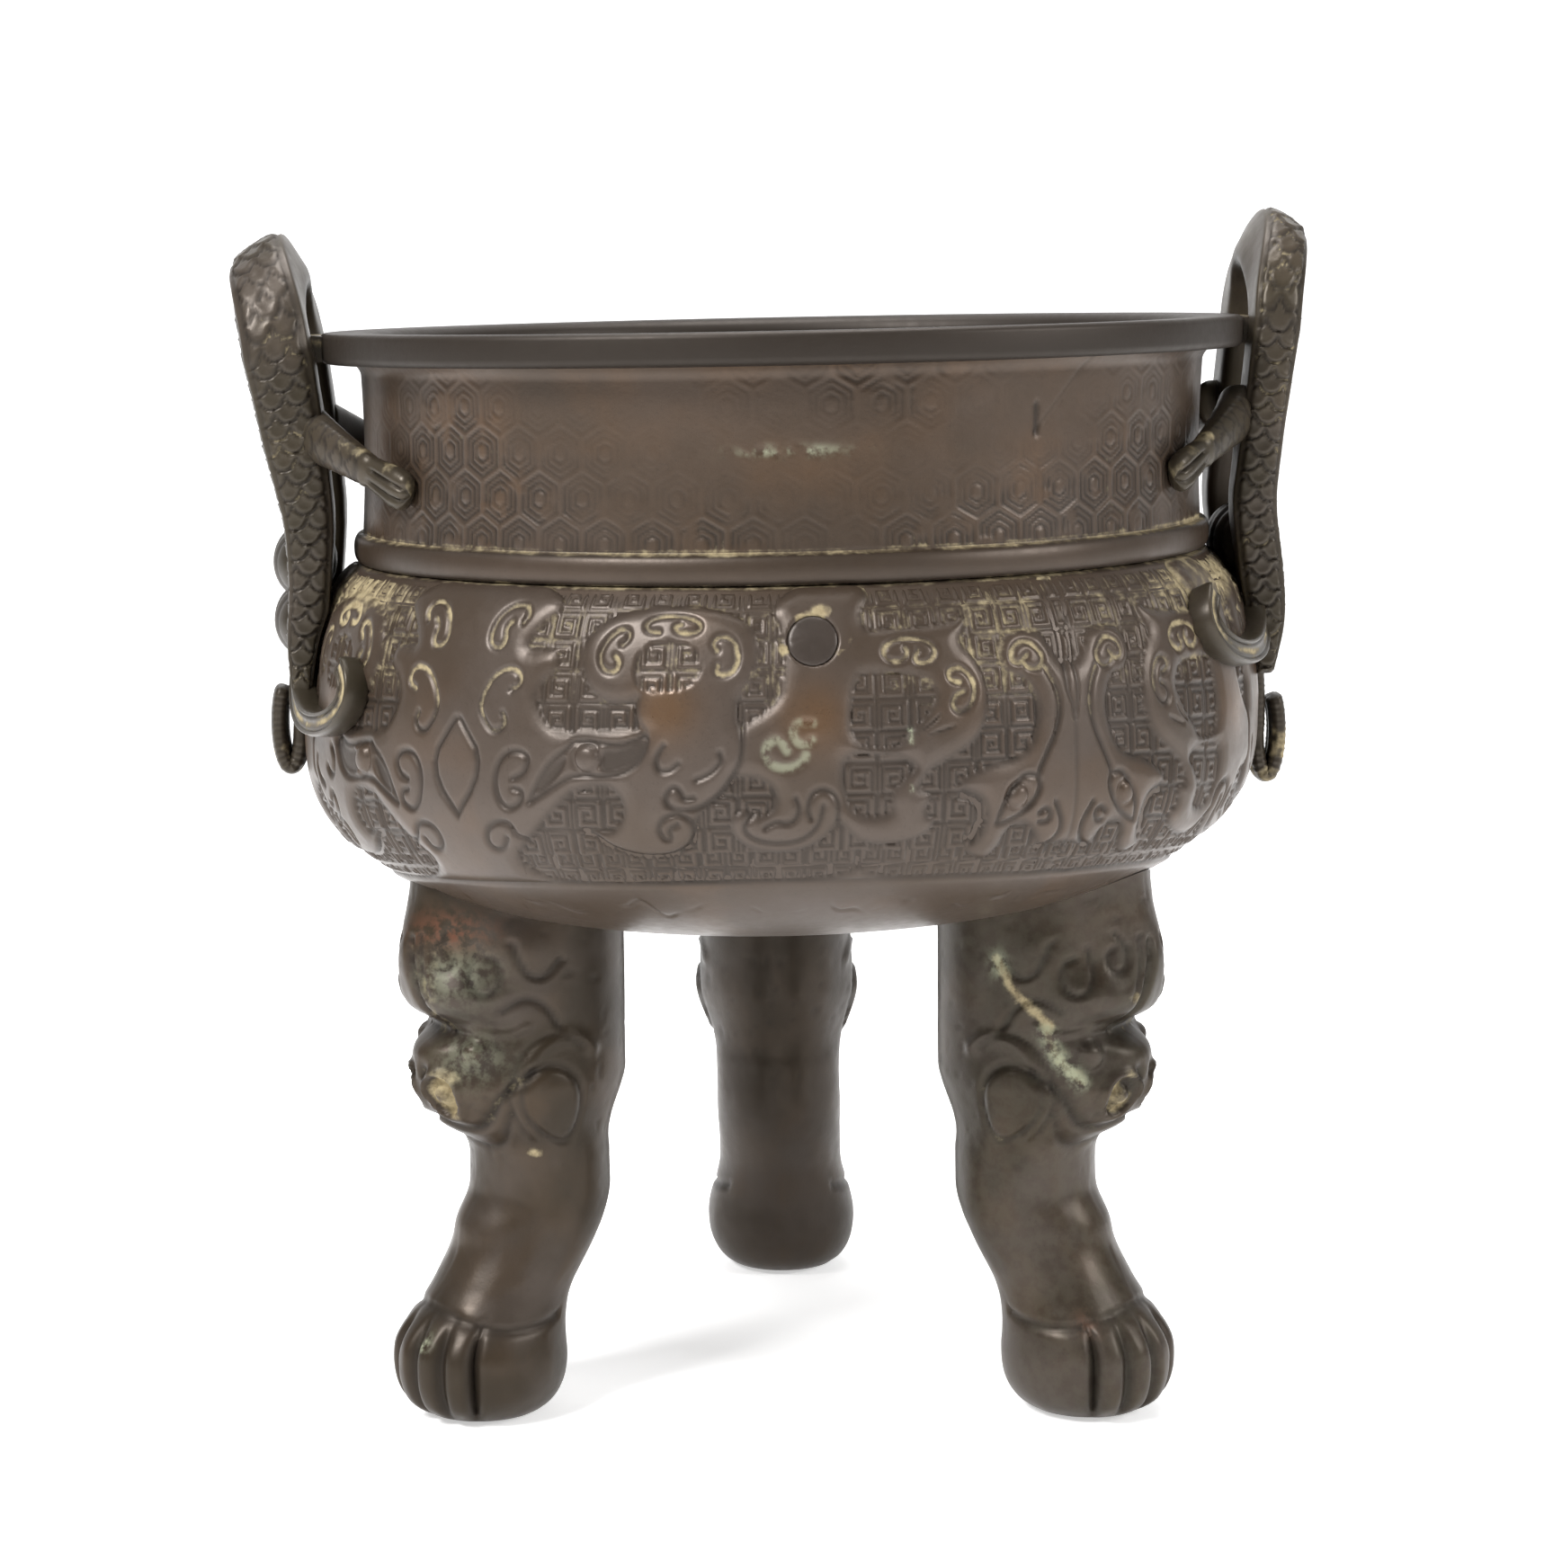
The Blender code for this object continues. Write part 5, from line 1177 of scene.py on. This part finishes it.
def arch(spec):
    """The arch and its two strands."""
    out_way, _ = frame_of(spec)
    centre_z = spec["crown"] - 0.5 * ARCH_BAR - ARCH_HALF
    strand = np.linspace(146.5, centre_z, STRAND_ROWS)
    turn = np.radians(np.linspace(0.0, 180.0, CROWN_ROWS))[1:-1]
    straight = np.full(STRAND_ROWS, ARCH_HALF)
    t = np.concatenate([-straight, -ARCH_HALF * np.cos(turn), straight])
    z = np.concatenate([strand, centre_z + ARCH_HALF * np.sin(turn), strand[::-1]])
    outer = np.interp(z, BAR_HEIGHTS, spec["outer"])
    smooth = np.convolve(np.pad(outer, SMOOTH // 2, mode="edge"), np.ones(SMOOTH) / SMOOTH, mode="valid")
    outer = np.where(z > 150.0, smooth, outer)
    width = np.interp(z, BAR_HEIGHTS, spec["width"])
    skin_r = np.where(z < 172.9, np.interp(z, SKIN_Z, SKIN_R), NECK_R)
    width = np.minimum(width, outer - skin_r + 1.6)
    centres = at(spec, outer - 0.5 * width, t, z)
    forward = unit(np.gradient(centres, axis=0))
    tilt = radians(40.0) * step(centre_z, spec["crown"], z)[:, None]
    out = np.cos(tilt) * out_way - np.sin(tilt) * UP
    up = unit(np.cross(out, forward))
    out = np.cross(forward, up)
    taper = 0.5 * (0.62 + 0.38 * step(160.0, 205.0, z))

    def relief(x, y, c, s, a):
        down = np.abs(a - 0.5 * a.max())
        height, groove = fish_scales(x, down, SCALE_R, SCALE_GAP)
        height_b, groove_b = fish_scales(y, down, SCALE_R, SCALE_GAP)
        back = step(0.25, 0.6, s)
        outer_face = step(0.5, 0.85, c) * (1.0 - back)
        edge = np.abs(x) / (0.5 * width[:, None])
        field = back * (1.0 - step(0.72, 0.84, edge))
        rub = clouds(np.stack([x, y, a], axis=-1), 7.0)
        border = 0.40 * bell(edge - 0.90, 0.07) - 0.3 * bell(edge - 0.78, 0.05)
        lift = (field * (0.80 * height - 0.85 * groove) + border * back + 0.25 * (rub - 0.5)
                + outer_face * (0.70 * height_b - 0.75 * groove_b))
        dark = field * groove + 0.6 * bell(edge - 0.78, 0.06) * back + outer_face * groove_b
        # Grime and painted shade darken the scale grooves and the border line.
        hollow = np.clip(dark, 0.0, 1.0)
        return lift, {"hollow": 0.95 * hollow, "dust": 0.45 * dark * step(0.40, 0.65, rub),
                      "worn": 0.5 * step(0.5, 0.75, rub) * (1.0 - hollow)}

    return bar(centres, out, up, 0.5 * width, ARCH_BAR * taper, BAR_COLUMNS, 4.0, relief, 1.2)


def limb(spec, side, paw_azimuth):
    """A scaled limb from a strand round to the neck, with a three-clawed paw."""
    s = np.linspace(0.0, 1.0, 72)
    root_u = np.interp(LIMB_Z, BAR_HEIGHTS, spec["outer"]) - 8.0
    root = at(spec, root_u, side * (ARCH_HALF - 3.0), LIMB_Z)
    paw = around(NECK_R + 1.2, paw_azimuth, PAW_Z)
    centres = root + (paw - root) * s[:, None]
    centres[:, 2] += np.sin(pi * s)
    outward = unit(centres * np.array([1.0, 1.0, 0.0]))
    radius = np.hypot(centres[:, 0], centres[:, 1])
    hug = np.maximum(radius + 1.6 * np.sin(pi * s), NECK_R + 0.8)
    centres[:, :2] = outward[:, :2] * hug[:, None]
    forward = unit(np.gradient(centres, axis=0))
    across = unit(np.cross(forward, outward))
    up = np.cross(across, forward)
    half = np.interp(s, (0.0, 0.35, 0.72, 0.9, 1.0), (5.4, 4.3, 3.1, 4.1, 3.6))

    def relief(x, y, c, sn, a):
        share = a / a.max()
        height, groove = fish_scales(x * 0.9, a, 2.2, 2.5)
        body = 1.0 - step(0.60, 0.68, share)
        toes = bell(np.abs(x) - 1.35, 0.35) * step(0.70, 0.76, share)
        cuff = bell(share - 0.67, 0.02)
        front = step(-0.1, 0.3, sn)
        lift = (0.35 * body * height - 0.25 * body * groove - 0.9 * toes + 0.3 * cuff) * front
        dark = np.clip(body * groove + 0.9 * toes + 0.6 * bell(share - 0.63, 0.015), 0.0, 1.0) * front
        top = step(0.2, 0.8, across[:, None, 2] * c)
        rub = clouds(np.stack([x, y, a], axis=-1), 5.0)
        dust = 0.55 * top * step(0.35, 0.7, rub) * step(0.3, 0.7, share) + 0.25 * dark * rub
        # Grime and painted shade darken the scale grooves, the toes and the cuff line.
        return lift, {"hollow": 0.85 * dark, "dust": dust, "worn": 0.35 * (1.0 - dark)}

    return bar(centres, across, up, half, half * (0.9 - 0.35 * s), 42, 2.4, relief, 2.2)


def ribbon(azimuth, s, wide, thick):
    """A raised band on the belly along a path of azimuths and lengths, with rolled borders."""
    scale = np.interp(s, SKIN_S, SKIN_R) * pi / 180.0
    dx, ds = np.gradient(azimuth) * scale, np.gradient(s)
    size = np.hypot(dx, ds)
    side_x, side_s = -ds / size, dx / size
    run = np.concatenate([[0.0], np.cumsum(np.hypot(np.diff(azimuth) * scale[1:], np.diff(s)))])
    w = np.linspace(-1.0, 1.0, 25)[None, :]
    from_end = np.clip((run[-1] - run) / 2.5, 0.0, 1.0)[:, None]
    tip = np.sqrt(np.clip(1.0 - (1.0 - from_end) ** 2, 0.003, 1.0))
    half = 0.5 * wide[:, None] * tip
    top = thick[:, None] * (0.35 + 0.65 * tip) * (1.0 - np.abs(w) ** 5) ** 0.2
    ridge = bell(np.abs(w) - 0.72, 0.13)
    groove = bell(np.abs(w) - 0.48, 0.08)
    trough = bell(w, 0.30)
    top = top + (0.45 * ridge - 0.30 * groove - 0.35 * trough) * tip
    under = np.full((len(s), 5), -1.2)
    w_all = np.concatenate([w, np.linspace(1.0, -1.0, 7)[None, 1:-1]], axis=1)
    lift = np.concatenate([top, under], axis=1)
    az = azimuth[:, None] + w_all * half * side_x[:, None] / scale[:, None]
    length = s[:, None] + w_all * half * side_s[:, None]
    points = skin(az, length, lift)
    rub = clouds(np.stack([az, length, lift], axis=-1), 6.0)[:, :25]
    # Grime and painted shade darken the border grooves.
    marks = {"hollow": 0.8 * groove, "dust": (0.75 * trough + 0.35 * groove) * step(0.30, 0.55, rub),
             "worn": 0.4 * ridge * step(0.4, 0.7, rub)}
    return points, padded(marks, top.shape, under.shape[1])


def hook(spec, side):
    """The lower end of a strand, curled along the belly."""
    turn = np.radians(np.linspace(172.0, 400.0, 110))
    size = np.linspace(1.0, 0.62, 110)
    az = spec["hook_reach"] * size * np.cos(turn)
    z = spec["hook_z"] + 10.5 * size * np.sin(turn)
    azimuth = 90.0 * spec["side"] + spec["turn"] + side * (spec["hook_offset"] + az)
    return ribbon(azimuth, length_at(z), 6.0 * np.linspace(1.0, 0.72, 110), np.full(110, 4.2))


def tail(spec):
    """The ribbon that hangs between the strands and curls out at its end."""
    low = spec["tail_low"] + 1.4
    down = np.linspace(166.5, low + 9.0, 60)
    turn = np.radians(np.linspace(-160.0, 60.0, 60))
    u_down = np.interp(down, SKIN_Z, SKIN_R) + 1.4
    middle = u_down[-1] + 2.3
    u = np.concatenate([u_down, middle + 2.3 * np.cos(turn)])
    z = np.concatenate([down, low + 9.0 + 9.0 * np.sin(turn)])
    centres = at(spec, u, 0.0 * z, z)
    forward = unit(np.gradient(centres, axis=0))
    _, along = frame_of(spec)
    side = np.broadcast_to(along, centres.shape)
    up = np.cross(side, forward)

    def relief(x, y, c, s, a):
        hatch = (0.5 + 0.5 * np.cos(2.0 * pi * a / 1.35)) * (np.abs(x) > 3.0)
        line = bell(np.abs(x) - 2.6, 0.35) + bell(x, 0.3)
        rub = clouds(np.stack([x, y, a], axis=-1), 5.0)
        # Grime and painted shade darken the hatching and the lines.
        return -0.22 * hatch - 0.3 * line, {"hollow": np.clip(0.6 * hatch + 0.7 * line, 0.0, 1.0),
                                            "dust": 0.6 * (a > 36.0) * step(0.4, 0.65, rub)}

    return bar(centres, side, up, np.full(len(z), 5.0), np.full(len(z), 1.8), 40, 3.0, relief, 1.0)


def lobe(spec, z, size):
    """One rounded lobe of the ornament between the strands."""
    turn = np.radians(np.linspace(-84.0, 84.0, 40))
    centres = at(spec, np.full(40, spec["lobe"] - size), 15.0 * np.sin(turn), z)
    out, _ = frame_of(spec)
    side = np.broadcast_to(out, centres.shape)
    up = np.broadcast_to(UP, centres.shape)

    def relief(x, y, c, s, a):
        share = a / a.max()
        line = sum(bell(share - k, 0.022) for k in (0.22, 0.36, 0.5, 0.64, 0.78))
        # Grime and painted shade darken the whole lobe a little and its lines more.
        return -0.45 * line, {"hollow": 0.25 + 0.6 * line}

    return bar(centres, side, up, size * np.cos(turn), 1.2 * size * np.cos(turn), 40, 2.0, relief)


def saddle(spec):
    """The seat on the rim: a bar between the strands with a dusty fillet to the lip."""
    t = np.linspace(-15.0, 15.0, 20)
    outer = np.interp(216.5, BAR_HEIGHTS, spec["outer"]) - 4.0
    inner = LIP_R - 3.0
    centres = at(spec, np.full(20, 0.5 * (inner + outer)), t, 216.5)
    out, _ = frame_of(spec)
    side = np.broadcast_to(out, centres.shape)
    up = np.broadcast_to(UP, centres.shape)

    def relief(x, y, c, s, a):
        rub = clouds(np.stack([x, y, a], axis=-1), 4.0)
        return 0.2 * (rub - 0.5), {"dust": 0.7 * (s > 0.3) * step(0.35, 0.6, rub)}

    return bar(centres, side, up, np.full(20, 0.5 * (outer - inner)), np.full(20, 2.7), 40, 5.0, relief)


# %% Two handles
for name, spec in (("handle_left", LEFT), ("handle_right", RIGHT)):
    grids = [arch(spec), saddle(spec), tail(spec), lobe(spec, 173.0, 6.5), lobe(spec, 161.0, 6.5)]
    for side in (-1.0, 1.0):
        near = side * spec["side"] < 0.0
        grids += [limb(spec, side, spec["paws"][0 if near else 1]), hook(spec, side)]
    made = merge(name.replace("handle", "arch_handle"), grids)
    place(made, [name], HANDLE_BRONZE)
    print(made.name, len(made.data.polygons), "faces")

# %% [markdown]
# ## Floor, light and camera
#
# The piece stands on a plain pale floor under soft light from above and from both sides, as in a
# museum photograph, and the camera looks down at it by a little over eight degrees.

# %% Floor and light
def plain_material(name, colour, roughness):
    """A material of one colour."""
    made = bpy.data.materials.new(name)
    made.use_nodes = True
    shader = made.node_tree.nodes["Principled BSDF"]
    shader.inputs["Base Color"].default_value = (*colour, 1.0)
    shader.inputs["Roughness"].default_value = roughness
    return made


def pale_sweep():
    """A sheet that lies flat under the piece and curves up into a wall behind it."""
    bend = np.radians(np.linspace(0.0, 90.0, 24))
    y = np.concatenate([[-2.5], 1.2 + 0.9 * np.sin(bend), [2.1]])
    z = np.concatenate([[0.0], 0.9 - 0.9 * np.cos(bend), [3.4]]) - 0.0002
    left = np.stack([np.full(len(y), -3.2), y, z], axis=-1)
    points = np.concatenate([left, left * (-1.0, 1.0, 1.0)])
    n = len(y)
    faces = [(k, k + n, k + n + 1, k + 1) for k in range(n - 1)]
    mesh = bpy.data.meshes.new("sweep")
    mesh.from_pydata(points.tolist(), [], faces)
    mesh.shade_smooth()
    made = bpy.data.objects.new("sweep", mesh)
    bpy.context.scene.collection.objects.link(made)
    return made


floor = pale_sweep()
paper = plain_material("pale paper", (0.90, 0.90, 0.90), 0.7)
paper.node_tree.nodes["Principled BSDF"].inputs["Emission Color"].default_value = (1.0, 1.0, 1.0, 1.0)
paper.node_tree.nodes["Principled BSDF"].inputs["Emission Strength"].default_value = 0.50
floor.data.materials.append(paper)

world = bpy.data.worlds.new("pale room")
bpy.context.scene.world = world
world.use_nodes = True
world.node_tree.nodes["Background"].inputs["Color"].default_value = (1.0, 1.0, 1.0, 1.0)
world.node_tree.nodes["Background"].inputs["Strength"].default_value = 0.26
bpy.context.scene.view_settings.view_transform = "Standard"


def soft_light(name, place_at, aim, size, power):
    """A square area light turned towards a point."""
    lamp = bpy.data.lights.new(name, "AREA")
    lamp.size = size
    lamp.energy = power
    made = bpy.data.objects.new(name, lamp)
    made.location = place_at
    way = np.array(aim) - np.array(place_at)
    flat = float(np.hypot(way[0], way[1]))
    turn = float(np.arctan2(way[1], way[0]) - 0.5 * pi)
    made.rotation_euler = (float(np.arctan2(flat, -way[2])), 0.0, turn)
    bpy.context.scene.collection.objects.link(made)


MIDDLE = (0.0, 0.0, 0.13)
soft_light("key from the upper left", (-0.75, -0.75, 1.05), MIDDLE, 0.45, 23.0)
soft_light("fill from the right", (0.95, -0.45, 0.60), MIDDLE, 0.4, 7.0)
soft_light("top", (0.0, 0.10, 1.20), MIDDLE, 0.7, 15.0)

lens = bpy.data.cameras.new("view")
lens.sensor_fit = "VERTICAL"
lens.sensor_height = 36.0
lens.lens = 80.67
lens.dof.use_dof = False
camera = bpy.data.objects.new("view", lens)
camera.location = (0.001589, -0.731098, 0.2305)
camera.rotation_euler = (radians(81.67), 0.0, 0.0)
bpy.context.scene.collection.objects.link(camera)
bpy.context.scene.camera = camera
